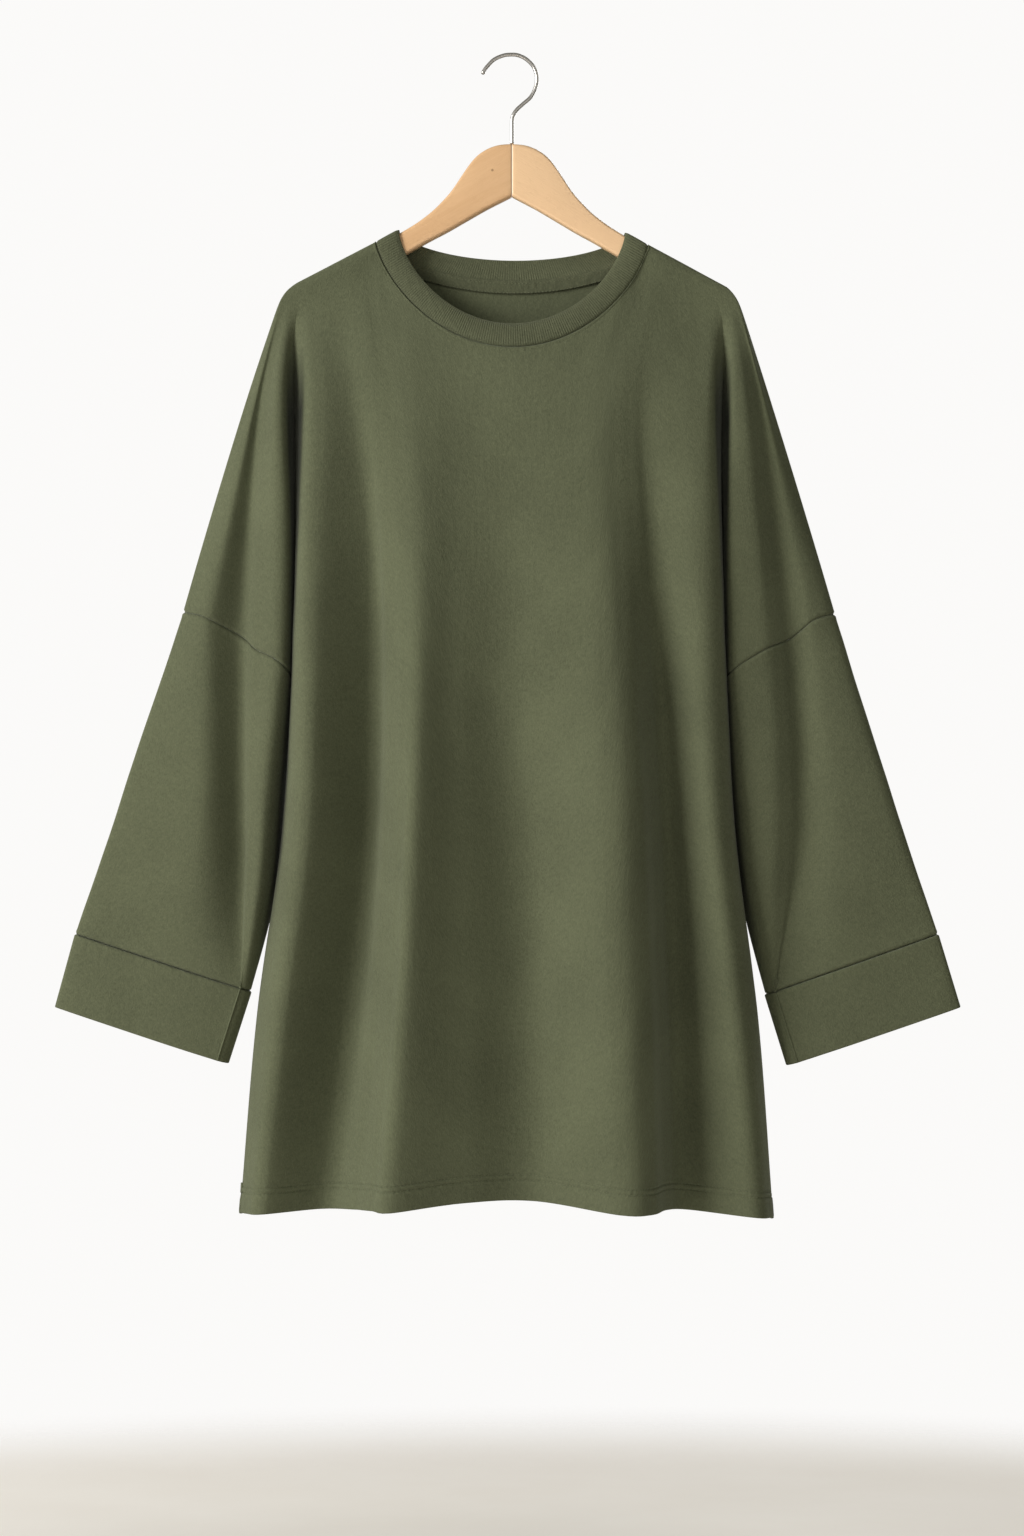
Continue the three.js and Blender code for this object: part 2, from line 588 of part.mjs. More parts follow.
function sleeveRings(measures, loop, places) {
  const outerStart = loop.find((point, j) => places[j].at === 0);
  const { innerEdge, cuffSeamOuter, lines } = measures;
  const lineValue = (list, share) => cubicThrough(list, share * 3);
  const sectionPoint = (place, share) => {
    const { at, key } = place;
    const across = lines.map((line) => lineValue([line.across[0], ...line.across], share));
    const outs = lines.map((line) => lineValue([line[key][0], ...line[key]], share));
    const a = cubicThrough(across, at);
    const innerX = lineValue(innerEdge.map((corner) => corner[0]), share);
    const innerZ = lineValue(innerEdge.map((corner) => corner[1]), share);
    const outerX = THREE.MathUtils.lerp(outerStart.x, cuffSeamOuter[0], share);
    const outerZ = THREE.MathUtils.lerp(outerStart.z, cuffSeamOuter[1], share);
    const atEdge = at === 0 || at === lines.length - 1;
    const out = atEdge ? 0 : cubicThrough(outs, at);
    const tucked = lineValue(innerTuck, share) * Math.max(a, 0) ** tuckSteepness;
    return new THREE.Vector3(
      THREE.MathUtils.lerp(outerX, innerX, a),
      tucked + (key === 'front' ? -out : out),
      THREE.MathUtils.lerp(outerZ, innerZ, a),
    );
  };
  const rings = [loop];
  for (let r = 1; r <= sleeveRows; r += 1) {
    const share = r / sleeveRows;
    const fade = Math.exp(-((share / sleeveFade.share) ** sleeveFade.power));
    rings.push(places.map((place, j) => {
      const point = sectionPoint(place, share);
      const offset = new THREE.Vector3().subVectors(loop[j], sectionPoint(place, 0));
      return point.addScaledVector(offset, r === sleeveRows ? 0 : fade);
    }));
  }
  return rings;
}

// The cuff starts a seam gap below the sleeve and stands a little proud of it
function cuffRings(measures, sleeveEnd, places) {
  const seamInner = measures.innerEdge[3];
  const { cuffSeamOuter, cuffEndOuter, cuffEndInner } = measures;
  const toOuter = Math.sign(cuffSeamOuter[0] - seamInner[0]);
  const outwardAt = (at) => {
    if (at === 0) return toOuter;
    return at === measures.lines.length - 1 ? -toOuter : 0;
  };
  const outerDown = [cuffEndOuter[0] - cuffSeamOuter[0], cuffEndOuter[1] - cuffSeamOuter[1]];
  const innerDown = [cuffEndInner[0] - seamInner[0], cuffEndInner[1] - seamInner[1]];
  const rings = [];
  for (let r = 0; r <= cuffRows; r += 1) {
    const share = r / cuffRows;
    rings.push(sleeveEnd.map((point, j) => {
      const a = (point.x - cuffSeamOuter[0]) / (seamInner[0] - cuffSeamOuter[0]);
      const down = new THREE.Vector3(
        THREE.MathUtils.lerp(outerDown[0], innerDown[0], a), 0,
        THREE.MathUtils.lerp(outerDown[1], innerDown[1], a),
      );
      const start = cuffGap / down.length();
      const proud = new THREE.Vector3(outwardAt(places[j].at), Math.sign(point.y), 0);
      return point.clone().addScaledVector(proud, cuffProud)
        .addScaledVector(down, start + share * (1 - start));
    }));
  }
  return rings;
}

// The neck rib, from its free edge down to the seam that it shares with both panels
function ribRings(front, back) {
  const seamOf = (panel) => panel.grid.map((rows) => rows[0])
    .filter((point, j) => panel.columns[j].neck);
  const backSeam = seamOf(back).filter((point) => point.y !== 0).reverse();
  const loop = [...seamOf(front), ...backSeam];
  const free = loop.map((point) => {
    const drop = point.y > 0 ? backNeckDrop : frontNeckDrop;
    const freeDrop = point.y > 0 ? backFreeDrop : frontFreeDrop;
    const level = point.z + point.x * hangTilt;
    const sunk = Math.min(Math.max((neckTop - level) / drop, 0), 1);
    const lean = Math.abs(point.x) / neckHalf;
    const inwards = point.y > 0 ? ribLean.back * sunk ** 4 : -ribLean.front * sunk ** 2;
    const standOut = point.y === 0 ? 0 : point.y - inwards;
    const x = Math.sign(point.x) * freeHalf * lean;
    return new THREE.Vector3(x, standOut, freeTop - freeDrop * sunk ** ribFall - x * hangTilt);
  });
  const mid = loop.map((point, j) => {
    const halfway = new THREE.Vector3().lerpVectors(free[j], point, 0.5);
    return halfway.add(new THREE.Vector3(0, Math.sign(point.y) * ribBulge, 0));
  });
  return [free, mid, loop];
}

function material(color, roughness, metalness) {
  return new THREE.MeshStandardMaterial({ color, roughness, metalness });
}

function addMesh(parent, name, geometry, look) {
  const mesh = new THREE.Mesh(geometry, look);
  mesh.name = name;
  parent.add(mesh);
}

// Half of the hanger: rounded sections from the middle joint to the shoulder tip
function armGeometry(sign) {
  const stations = armOutline.map((row) => ({ ...row, half: hangerDepth / 2 }));
  const last = armOutline[armOutline.length - 1];
  armStations.forEach((across) => {
    const down = (across - last.across) * armLean;
    stations.push({ across, top: last.top - down, under: last.under - down * armThinning,
      half: hangerDepth / 2 });
  });
  const tipTop = last.top - (armTip - last.across) * armLean;
  stations.push({ across: armTip, top: tipTop - tipRound.top, under: tipTop - tipRound.under,
    half: tipRound.half });
  stations[0].across = jointGap / 2;
  const rings = stations.map(({ across, top, under, half }) => {
    const corner = Math.min(hangerCorner, half - 1);
    const ring = [];
    const corners = [[1, 1], [-1, 1], [-1, -1], [1, -1]];
    corners.forEach(([sy, sz], index) => {
      const cy = sy * (half - corner);
      const cz = sz > 0 ? top - corner : under + corner;
      for (let step = 0; step <= 2; step += 1) {
        const turn = (index + step / 2) * Math.PI / 2;
        const x = sign * across;
        ring.push(new THREE.Vector3(x, cy + corner * Math.cos(turn),
          cz + corner * Math.sin(turn) - x * hangTilt));
      }
    });
    return sign > 0 ? ring : ring.reverse();
  });
  return closedLoft(rings);
}

function closedLoft(rings) {
  const count = rings[0].length;
  const positions = rings.flat().flatMap((point) => point.toArray());
  const triangles = [];
  for (let r = 0; r + 1 < rings.length; r += 1) {
    for (let j = 0; j < count; j += 1) {
      const next = (j + 1) % count;
      const [a, b] = [r * count + j, r * count + next];
      triangles.push(a, b, b + count, a, b + count, a + count);
    }
  }
  const end = (rings.length - 1) * count;
  for (let j = 1; j + 1 < count; j += 1) {
    triangles.push(0, j + 1, j);
    triangles.push(end, end + j, end + j + 1);
  }
  const geometry = new THREE.BufferGeometry();
  geometry.setAttribute('position', new THREE.Float32BufferAttribute(positions, 3));
  geometry.setIndex(triangles);
  geometry.computeVertexNormals();
  return geometry;
}

// The hook: a wire swept along its centre line
function hookGeometry() {
  const route = hookLine.map(([x, z]) => new THREE.Vector3(x, 0, z));
  const circle = new THREE.Shape().absarc(0, 0, wireRadius, 0, Math.PI * 2);
  return new THREE.ExtrudeGeometry(circle, {
    steps: hookSteps,
    curveSegments: wireDivisions,
    extrudePath: new THREE.CatmullRomCurve3(route, false, 'centripetal'),
  });
}

const shirt = new THREE.Group();
const clothLook = material(0x5a6149, 0.9, 0);
const ribLook = material(0x565e45, 0.9, 0);
const woodLook = material(0xe4bb8c, 0.5, 0);
const steelLook = material(0x9a968f, 0.35, 1);

const front = makePanel(frontLines, -1);
const back = makePanel(backLines, 1);
const lastColumn = front.grid.length - 1;

const frontPiece = panelPiece('front_panel', front, -1);
const backPiece = panelPiece('back_panel', back, 1);
const sides = [
  { side: 'left', from: 0, to: front.leftValley, outerFirst: true },
  { side: 'right', from: front.rightValley, to: lastColumn, outerFirst: false },
];
const sleevePieces = [];
const cuffPieces = [];
sides.forEach(({ side, from, to, outerFirst }) => {
  const measures = sleeves[side];
  const loop = armholeLoop(front, back, from, to);
  const places = sleevePlaces(front, from, to, outerFirst);
  const rings = sleeveRings(measures, loop, places);
  const sleeve = new Piece(`sleeve_${side}`, clothWall);
  sleeve.addRings(rings, true);
  sleevePieces.push(sleeve);
  const cuff = new Piece(`cuff_${side}`, cuffWall);
  cuff.addRings(cuffRings(measures, rings[sleeveRows], places), true);
  cuffPieces.push(cuff);
});
const rib = new Piece('neck_rib', ribWall);
rib.addRings(ribRings(front, back), true);

const sewnPieces = [frontPiece, backPiece, ...sleevePieces, rib];
const sums = sewnNormals(sewnPieces);
[front.leftValley, front.rightValley].forEach((j) => {
  sums.get(keyOf(front.grid[j][underarmRow])).normal.set(0, 0, -1);
});
sewnPieces.forEach((piece) => {
  const look = piece === rib ? ribLook : clothLook;
  addMesh(shirt, piece.name, wallGeometry(piece, sums), look);
});
cuffPieces.forEach((cuff) => {
  addMesh(shirt, cuff.name, wallGeometry(cuff, sewnNormals([cuff])), clothLook);
});

// The tape lies on the inside of the back panel, just under the neck seam
const tape = new Piece('neck_tape', tapeWall);
const tapeRows = [1, 2, 3].map((row) => back.columns
  .map((column, j) => ({ column, j }))
  .filter(({ column, j }) => column.neck && Math.abs(back.grid[j][0].x) < tapeHalf)
  .map(({ j }) => {
    const point = back.grid[j][row];
    const { normal } = sums.get(keyOf(point));
    return point.clone().addScaledVector(normal, -clothWall - seamGap);
  })
  .reverse());
tape.addRings(tapeRows, false);
addMesh(shirt, tape.name, wallGeometry(tape, sewnNormals([tape])), ribLook);

addMesh(shirt, 'hanger_arm_left', armGeometry(-1), woodLook);
addMesh(shirt, 'hanger_arm_right', armGeometry(1), woodLook);
addMesh(shirt, 'hanger_hook', hookGeometry(), steelLook);

export default shirt;
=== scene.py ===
import math

import bmesh
import bpy
from mathutils import Matrix, Vector, noise


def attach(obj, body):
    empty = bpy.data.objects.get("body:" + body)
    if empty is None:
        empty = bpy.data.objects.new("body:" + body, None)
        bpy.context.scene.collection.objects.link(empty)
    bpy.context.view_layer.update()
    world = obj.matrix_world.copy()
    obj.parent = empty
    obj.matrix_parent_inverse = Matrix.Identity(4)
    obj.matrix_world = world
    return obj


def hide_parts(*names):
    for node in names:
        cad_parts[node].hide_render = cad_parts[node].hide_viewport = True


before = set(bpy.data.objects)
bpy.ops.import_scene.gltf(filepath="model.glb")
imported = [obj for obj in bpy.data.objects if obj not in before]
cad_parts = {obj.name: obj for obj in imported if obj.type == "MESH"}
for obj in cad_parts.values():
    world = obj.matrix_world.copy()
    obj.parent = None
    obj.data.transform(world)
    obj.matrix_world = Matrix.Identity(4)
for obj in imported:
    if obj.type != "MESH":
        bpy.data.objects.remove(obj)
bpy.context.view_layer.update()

print("frame loaded,", len(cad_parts), "nodes")

# All lengths below are in millimetres, in the frame of the solids, and shrink to metres
# when a mesh is made. X runs right, Y back and Z up. The origin is inside the hook's crest.
mm = 0.001


levels = (-230, -320, -450, -600, -720, -880, -1062)
# shoulder caps: mm out from the neck, ease, x at the first four levels, front out, back out,
# height of the armhole seam
leftCap = [
    (73, 7, (215.3, 245.5, 284.6, 327), (0, 0, 0, 0), (0, 0, 0, 0), -511),  # fold
    (71, 9, (214.2, 241.5, 280, 322), (7, 7, 8, 9), (7, 6, 7, 8), -512),  # roll
    (66, 12, (213, 236, 263, 295), (10, 13, 18, 22), (9, 10, 12, 14), -518),  # crown
    (61, 15, (211.5, 230.5, 244, 254), (10, 11, 8.5, 7), (9, 9, 10, 10), -533),  # trough
    (57, 18, (210, 223.5, 231, 238), (10, 17, 19, 17), (9, 12, 15, 15), -546),  # flank
    (53, 20, (208, 215, 214, 215), (10, 26, 30, 28), (9, 15, 20, 20), -556),  # crest
    (50, 20, (205, 206.5, 202, 204), (9, 22, 25, 19), (9, 13, 16, 14), -567),  # edge
]
rightCap = [
    (50, 20, (202, 200, 197, 199.5), (9, 20, 25, 23), (9, 13, 16, 14), -567),  # edge
    (53, 20, (204, 211, 221, 232), (10, 23, 26, 24), (9, 15, 20, 20), -548),  # crest
    (57, 18, (205.5, 219, 233, 250), (10, 18, 19, 17), (9, 12, 15, 15), -541),  # flank
    (61, 15, (207, 227, 245, 266), (10, 12, 10.5, 8.5), (9, 9, 10, 10), -535),  # trough
    (66, 12, (208, 231.5, 260, 292), (10, 12, 13, 14), (9, 10, 12, 14), -520),  # crown
    (71, 9, (209, 235, 273, 317), (7, 7, 8, 9), (7, 6, 7, 8), -514),  # roll
    (73, 7, (210, 239, 278.5, 322), (0, 0, 0, 0), (0, 0, 0, 0), -513),  # fold
]
# body, from valley to valley: where it starts, ease, x at all levels, out at all levels, hem
frontLines = [
    ("shoulder", 47, 25, (-201.5, -200, -199.6, -203, -212, -234, -249.6),
     (8, 0.8, 0.3, 0.5, 0, 0, 0), -1063),  # valley
    ("shoulder", 43, 28, (-192, -189, -193.5, -200, -208, -228, -243),
     (9, 28, 36, 33, 29, 25, 20), -1061),  # edge
    ("shoulder", 36, 35, (-186, -172, -176, -180, -185, -206, -226),
     (10, 33, 45, 49, 50, 47, 38), -1059),  # crest
    ("shoulder", 17, 45, (-167, -146, -130.5, -129.5, -134, -152, -175),
     (11, 27.5, 26, 15.5, 11, 10, 11), -1058),  # trough
    ("shoulder", 0, 14, (-136, -125, -117, -113, -116, -126.5, -145),
     (12, 30, 37, 38, 37, 35, 34), -1055),  # rise
    ("neck", 2.1, 14, (-130, -117, -108, -105, -108, -117.5, -136),
     (12, 31, 43, 49, 50, 48, 45), -1054),  # neck turn
    ("neck", 9.4, 16, (-122, -107, -99, -98, -100, -109.5, -127),
     (13, 32, 48, 58, 61, 60, 57), -1053),  # neck side
    ("neck", 27.6, 30, (-104, -89, -82, -83, -87, -95, -109),
     (18, 35, 53, 66, 72, 73, 70), -1053),  # crest
    ("neck", 63, 60, (-50, -47, -49, -50, -46, -44, -44),
     (30, 36, 46, 50, 49, 47, 43), -1048),  # slope
    ("neck", 91, 60, (0, 0, 0, 4, 11, 17, 20),
     (34, 38, 41, 36, 30, 26, 24), -1049),  # trough
    ("neck", 127, 40, (70, 69, 72, 78, 82, 89, 97),
     (24, 38, 52, 61, 66, 68, 65), -1055.5),  # crest
    ("neck", 170.6, 16, (112, 94, 98, 107, 115, 122, 127),
     (15.5, 36, 47, 57, 59, 60, 57), -1056.5),  # step
    ("neck", 177.9, 14, (125, 110, 115, 122, 129, 136, 141),
     (14.2, 33, 38.5, 37, 33, 31, 28), -1056.5),  # neck turn
    ("shoulder", 0, 14, (136, 125, 131, 139, 145.5, 154, 162),
     (12.8, 30.5, 31, 20, 13.5, 10.5, 9.5), -1059),  # trough
    ("shoulder", 34, 35, (174, 166, 168, 174, 182, 201, 219),
     (10, 33, 42, 42.5, 41.5, 39.5, 35), -1062.5),  # crest
    ("shoulder", 43, 28, (188, 184, 188.5, 195.5, 203, 222.5, 237),
     (9, 27, 32.5, 29, 25, 21, 16), -1065.5),  # edge
    ("shoulder", 47, 25, (197, 193.2, 193.6, 197, 204.2, 225.4, 239.2),
     (8, 0.8, 0.3, 0.5, 0, 0, 0), -1067.5),  # valley
]
backLines = [
    ("shoulder", 47, 25, (-201.5, -200, -199.6, -203, -212, -234, -249.6),
     (8, 6, 4.5, 4.5, 0, 0, 0), -1063),  # valley
    ("shoulder", 43, 28, (-192, -189, -191, -195, -203, -226, -244),
     (9, 14, 18, 15, 14, 14, 12), -1061),  # edge
    ("shoulder", 36, 35, (-186, -173, -171, -176, -184, -203, -222),
     (10, 20, 27, 31, 33, 33, 30), -1059),  # crest
    ("shoulder", 17, 45, (-167, -146, -133, -131, -137, -152, -166),
     (11, 20, 22, 20, 18, 17, 15), -1058),  # trough
    ("shoulder", 0, 14, (-136, -122, -109, -105, -107, -114, -120),
     (12, 22, 28, 31, 32, 32, 30), -1057),  # rise
    ("neck", 4.5, 14, (-130, -115, -102, -97, -98, -104, -109),
     (12, 23, 30, 35, 37, 37, 36), -1057),  # neck turn
    ("neck", 20.5, 16, (-122, -107, -95, -89, -89, -93, -97),
     (13, 24, 32, 38, 41, 42, 42), -1056),  # neck side
    ("neck", 37, 24, (-104, -90, -80, -74, -74, -75, -76),
     (15, 26, 33, 38, 41, 43, 43), -1056),  # crest
    ("neck", 63, 40, (-50, -44, -38, -33, -29, -26, -24),
     (18, 25, 28, 27, 26, 25, 24), -1055),  # trough
    ("neck", 91, 40, (0, 4, 11, 17, 22, 28, 33),
     (19, 26, 31, 33, 34, 36, 36), -1055),  # swell
    ("neck", 127, 36, (66, 62, 64, 66, 68, 72, 76),
     (17, 24, 27, 27, 27, 26, 25), -1056),  # trough
    ("neck", 159.5, 16, (120, 108, 104, 103, 105, 110, 116),
     (13, 23, 27, 29, 30, 30, 27), -1058),  # neck side
    ("neck", 175.5, 14, (128, 117, 115, 115, 117, 121, 127),
     (12, 23, 29, 33, 35, 36, 35), -1059),  # neck turn
    ("shoulder", 0, 14, (135, 126, 125, 126, 128, 133, 139),
     (12, 22, 29, 36, 39, 41, 40), -1060),  # crest
    ("shoulder", 34, 35, (174, 165, 163, 164, 167, 180, 192),
     (10, 20, 25, 27, 27, 26, 24), -1063),  # trough
    ("shoulder", 43, 28, (188, 183.5, 186, 189, 196, 218, 235),
     (9, 14, 19, 17, 17, 18, 14), -1065.5),  # edge
    ("shoulder", 47, 25, (197, 193.2, 193.6, 197, 204.2, 225.4, 239.2),
     (8, 6, 4.5, 4.5, 0, 0, 0), -1067.5),  # valley
]


# how the cloth passes over the arms of the hanger and hangs below them
hang = {
    "tilt": 0.01,  # the whole hanger leans a little to one side
    "armLean": 0.53,
    "underarm": -578,
    "overArm": ((0, 0), (0.12, 3.2), (0.4, 5.6), (1, 7.2), (2, 7.9), (3.6, 8.3), (7.8, 8.8)),
    "rowDepths": (0, 0.9, 7.8, 13.5),
    "underarmRow": 11,
    "hemRow": 20,
}
neckline = {
    "half": 125, "top": -172.4, "front": 98, "back": 34,
    "freeHalf": 104.6, "freeTop": -160.8, "freeFront": 88, "freeBack": 26,
}


def between(a, b, t):
    return a + (b - a) * t


def cubicAt(values, at, low, high, lowSlope=0.5, highSlope=0.5):
    start = min(max(int(at), low), high - 1)
    t = at - start
    b, c = values(start), values(start + 1)
    slopeIn = (c - values(start - 1)) / 2 if start > low else (c - b) * lowSlope
    slopeOut = (values(start + 2) - b) / 2 if start + 1 < high else (c - b) * highSlope
    t2, t3 = t * t, t * t * t
    return (b * (2 * t3 - 3 * t2 + 1) + c * (3 * t2 - 2 * t3)
            + slopeIn * (t3 - 2 * t2 + t) + slopeOut * (t3 - t2))


def atHeight(values, z):
    last = len(values) - 1
    k = 0
    while k < last - 1 and z < levels[k + 1]:
        k += 1
    span = levels[k + 1] - levels[k]
    t = (z - levels[k]) / span

    def grade(i):
        low, high = max(i - 1, 0), min(i + 1, last)
        return (values[high] - values[low]) / (levels[high] - levels[low])

    if t < 0:
        return values[0] + grade(0) * (z - levels[0])
    if t > 1:
        return values[last] + grade(last) * (z - levels[last])
    t2, t3 = t * t, t * t * t
    return (values[k] * (2 * t3 - 3 * t2 + 1) + values[k + 1] * (3 * t2 - 2 * t3)
            + span * (grade(k) * (t3 - 2 * t2 + t) + grade(k + 1) * (t3 - t2)))


def tableAt(table, x):
    for (x0, y0), (x1, y1) in zip(table, table[1:]):
        if x <= x1:
            return between(y0, y1, max((x - x0) / (x1 - x0), 0))
    return table[-1][1]


def shoulderZ(x):
    past = max(abs(x) - neckline["half"], 0)
    return neckline["top"] - past * hang["armLean"] - x * hang["tilt"]


def neckCurve(drop, degrees):
    turn = math.radians(degrees)
    x = -neckline["half"] * math.cos(turn)
    return x, neckline["top"] - drop * max(math.sin(turn), 0) ** 1.4 - x * hang["tilt"]


class Panel:
    # at runs from the left edge's fold line to the right one, row from the shoulder to the hem
    def __init__(self, bodyLines, side):
        self.side = side
        self.drop = neckline["front"] if side < 0 else neckline["back"]
        self.lines = []
        for sign, caps in ((-1, leftCap), (0, bodyLines), (1, rightCap)):
            for row in caps:
                if sign:
                    start, ease, xs, front, back, seam = row
                    line = {"kind": "shoulder", "x": [sign * x for x in xs], "seam": seam,
                            "out": front if side < 0 else back, "hem": -1063}
                else:
                    kind, start, ease, xs, out, hem = row
                    line = {"kind": kind, "x": xs, "out": out, "hem": hem,
                            "seam": hang["underarm"]}
                line["ease"] = ease
                line["start"] = start
                if line["kind"] == "shoulder":
                    line["start"] = math.copysign(neckline["half"] + start, line["x"][0])
                self.lines.append(line)
        self.last = len(self.lines) - 1
        self.valleys = (len(leftCap), self.last - len(rightCap))

    def section(self, at):
        left, right = self.valleys
        if at <= left:
            return 0, left, 0, 0.5
        if at <= right:
            return left, right, 0.5, 0.5
        return right, self.last, 0.5, 0

    def blend(self, key, at):
        low, high, _, _ = self.section(at)
        return cubicAt(lambda k: self.lines[k][key], at, low, high)

    def xAt(self, at, z):
        return cubicAt(lambda k: atHeight(self.lines[k]["x"], z), at, *self.section(at))

    def outAt(self, at, z):
        low, high, lowSlope, highSlope = self.section(at)

        def out(k):
            value = atHeight(self.lines[k]["out"], z)
            if k in self.valleys:
                value *= min(max((z - hang["underarm"]) / 40, 0), 1)
            return value

        return cubicAt(out, at, low, high, lowSlope or 1.5, highSlope or 1.5)

    def top(self, at):
        k = min(int(at), self.last)
        t = at - k
        line, after = self.lines[k], self.lines[min(k + 1, self.last)]
        if line["kind"] == "neck" or (after["kind"] == "neck" and t > 0):
            start = line["start"] if line["kind"] == "neck" else 0
            end = after["start"] if after["kind"] == "neck" else 180
            return neckCurve(self.drop, between(start, end, t))
        x = between(line["start"], after["start"], t)
        return x, shoulderZ(x)

    def height(self, at, row, topZ):
        if row <= 3:
            k = min(max(int(row), 0), 2)
            return topZ - between(*hang["rowDepths"][k:k + 2], row - k)
        cap = not self.valleys[0] <= at <= self.valleys[1]
        bottom = self.blend("seam", at) if cap else hang["underarm"]
        if row <= hang["underarmRow"]:
            share = (row - 3) / (hang["underarmRow"] - 3)
            return between(topZ - hang["rowDepths"][3], bottom, share ** 1.15)
        share = (row - hang["underarmRow"]) / (hang["hemRow"] - hang["underarmRow"])
        return between(hang["underarm"], self.blend("hem", at), share)

    def point(self, at, row):
        topX, topZ = self.top(at)
        z = self.height(at, row, topZ)
        ease = self.blend("ease", at)
        fade = math.exp(-((topZ - z) / ease) ** 1.2) if z < topZ else 1
        x = self.xAt(at, z) + (topX - self.xAt(at, topZ)) * fade
        below = shoulderZ(x) - z
        nearFold = math.sin(min(at, self.last - at, 1) * math.pi / 2)
        held = tableAt(hang["overArm"], below) * nearFold
        spread = 1 - math.exp(-(max(below - 7.8, 0) / (ease + 25)) ** 1.3)
        if at in (0, self.last) or (row >= hang["underarmRow"] and at in self.valleys):
            return Vector((x, 0, z))
        return Vector((x, self.side * (held + (self.outAt(at, z) - held) * spread), z))


front = Panel(frontLines, -1)
back = Panel(backLines, 1)
print("cloth form set out")


def normalsOf(points, closed):
    field = []
    for j, row in enumerate(points):
        above, below = points[max(j - 1, 0)], points[min(j + 1, len(points) - 1)]
        count = len(row)
        line = []
        for i in range(count):
            before = row[i - 1] if closed or i else row[i]
            after = row[(i + 1) % count] if closed or i + 1 < count else row[i]
            line.append((after - before).cross(above[i] - below[i]).normalized())
        field.append(line)
    return field


def clothLengths(points, closed):
    # metres of cloth across from the middle column, and down from the first row
    rows = [row + row[:1] if closed else row for row in points]
    middle = len(rows[0]) // 2
    across, down = [], []
    for j, row in enumerate(rows):
        run = [0.0]
        for a, b in zip(row, row[1:]):
            run.append(run[-1] + (b - a).length * mm)
        across.append([value - run[middle] for value in run])
        if j:
            down.append([down[-1][i] - (row[i] - rows[j - 1][i]).length * mm
                         for i in range(len(row))])
        else:
            down.append([0.0] * len(row))
    return across, down


def nearness(points, edgesOf, reach):
    # distance from each point to the sewn edges, through the edge points of its row and column
    return [[min([(point - points[b][a]).length for a, b in edgesOf(i, j)], default=reach)
             for i, point in enumerate(row)] for j, row in enumerate(points)]


def rollSeams(points, normals, distance, depth=1.5):
    # cloth turns in where it is sewn and swells a little beside the seam
    for j, row in enumerate(points):
        for i, point in enumerate(row):
            d = distance[j][i]
            if d < 12:
                dip = depth * math.exp(-(d / 1.1) ** 2) - 0.3 * math.exp(-((d - 2.8) / 1.6) ** 2)
                row[i] = point - normals[j][i] * dip


def meshFrom(name, points, closed=False, keep=None, seam=None, shade=None, capped=False):
    across = len(points[0]) if closed else len(points[0]) - 1
    down = len(points) - 1
    bm = bmesh.new()
    cloth = bm.loops.layers.uv.new("cloth")
    sewn = bm.verts.layers.float.new("sewn")
    # the tucked layer holds painted shade: how far the cloth colour is darkened deep in the folds
    # by the body
    tucked = bm.verts.layers.float.new("tucked")
    bmesh.ops.create_grid(bm, x_segments=across, y_segments=down, size=1)
    place = {}
    for vert in bm.verts:
        i = round((vert.co.x + 1) / 2 * across)
        j = round((1 - vert.co.y) / 2 * down)
        place[vert] = (i, j)
        column = i % len(points[0]) if closed else i
        vert.co = points[j][column] * mm
        if seam:
            vert[sewn] = seam[j][column]
        if shade:
            vert[tucked] = shade[j][column]
    lengths = clothLengths(points, closed)
    for face in bm.faces:
        face.smooth = True
        for loop in face.loops:
            i, j = place[loop.vert]
            loop[cloth].uv = (lengths[0][j][i], lengths[1][j][i])
    if keep:
        spare = [face for face in bm.faces
                 if not keep(min(place[v][0] for v in face.verts),
                             min(place[v][1] for v in face.verts))]
        bmesh.ops.delete(bm, geom=spare, context="FACES")
    if closed:
        bmesh.ops.remove_doubles(bm, verts=bm.verts, dist=1e-7)
    if capped:
        bmesh.ops.holes_fill(bm, edges=[e for e in bm.edges if e.is_boundary], sides=0)
        bmesh.ops.recalc_face_normals(bm, faces=bm.faces)
    return objectFrom(name, bm)


def objectFrom(name, bm):
    mesh = bpy.data.meshes.new(name)
    bm.to_mesh(mesh)
    bm.free()
    piece = bpy.data.objects.new(name, mesh)
    bpy.context.scene.collection.objects.link(piece)
    return piece


def giveWall(piece, thickness):
    wall = piece.modifiers.new("wall", "SOLIDIFY")
    wall.thickness = thickness * mm
    wall.offset = -1
    wall.use_even_offset = False


def finishPiece(piece, look, slotName, *nodes):
    piece.data.materials.append(look)
    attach(piece, "root")
    if nodes:
        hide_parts(*nodes)


def spreadOut(start, end, count, tightStart=(), tightEnd=()):
    # even steps from start to end, with closer ones at either end given as shares
    shares = sorted({0.0, 1.0, *tightStart, *(1 - share for share in tightEnd)}
                    | {k / count for k in range(1, count)
                       if k / count > max(tightStart, default=0)
                       and k / count < 1 - max(tightEnd, default=0)})
    return [between(start, end, share) for share in shares]


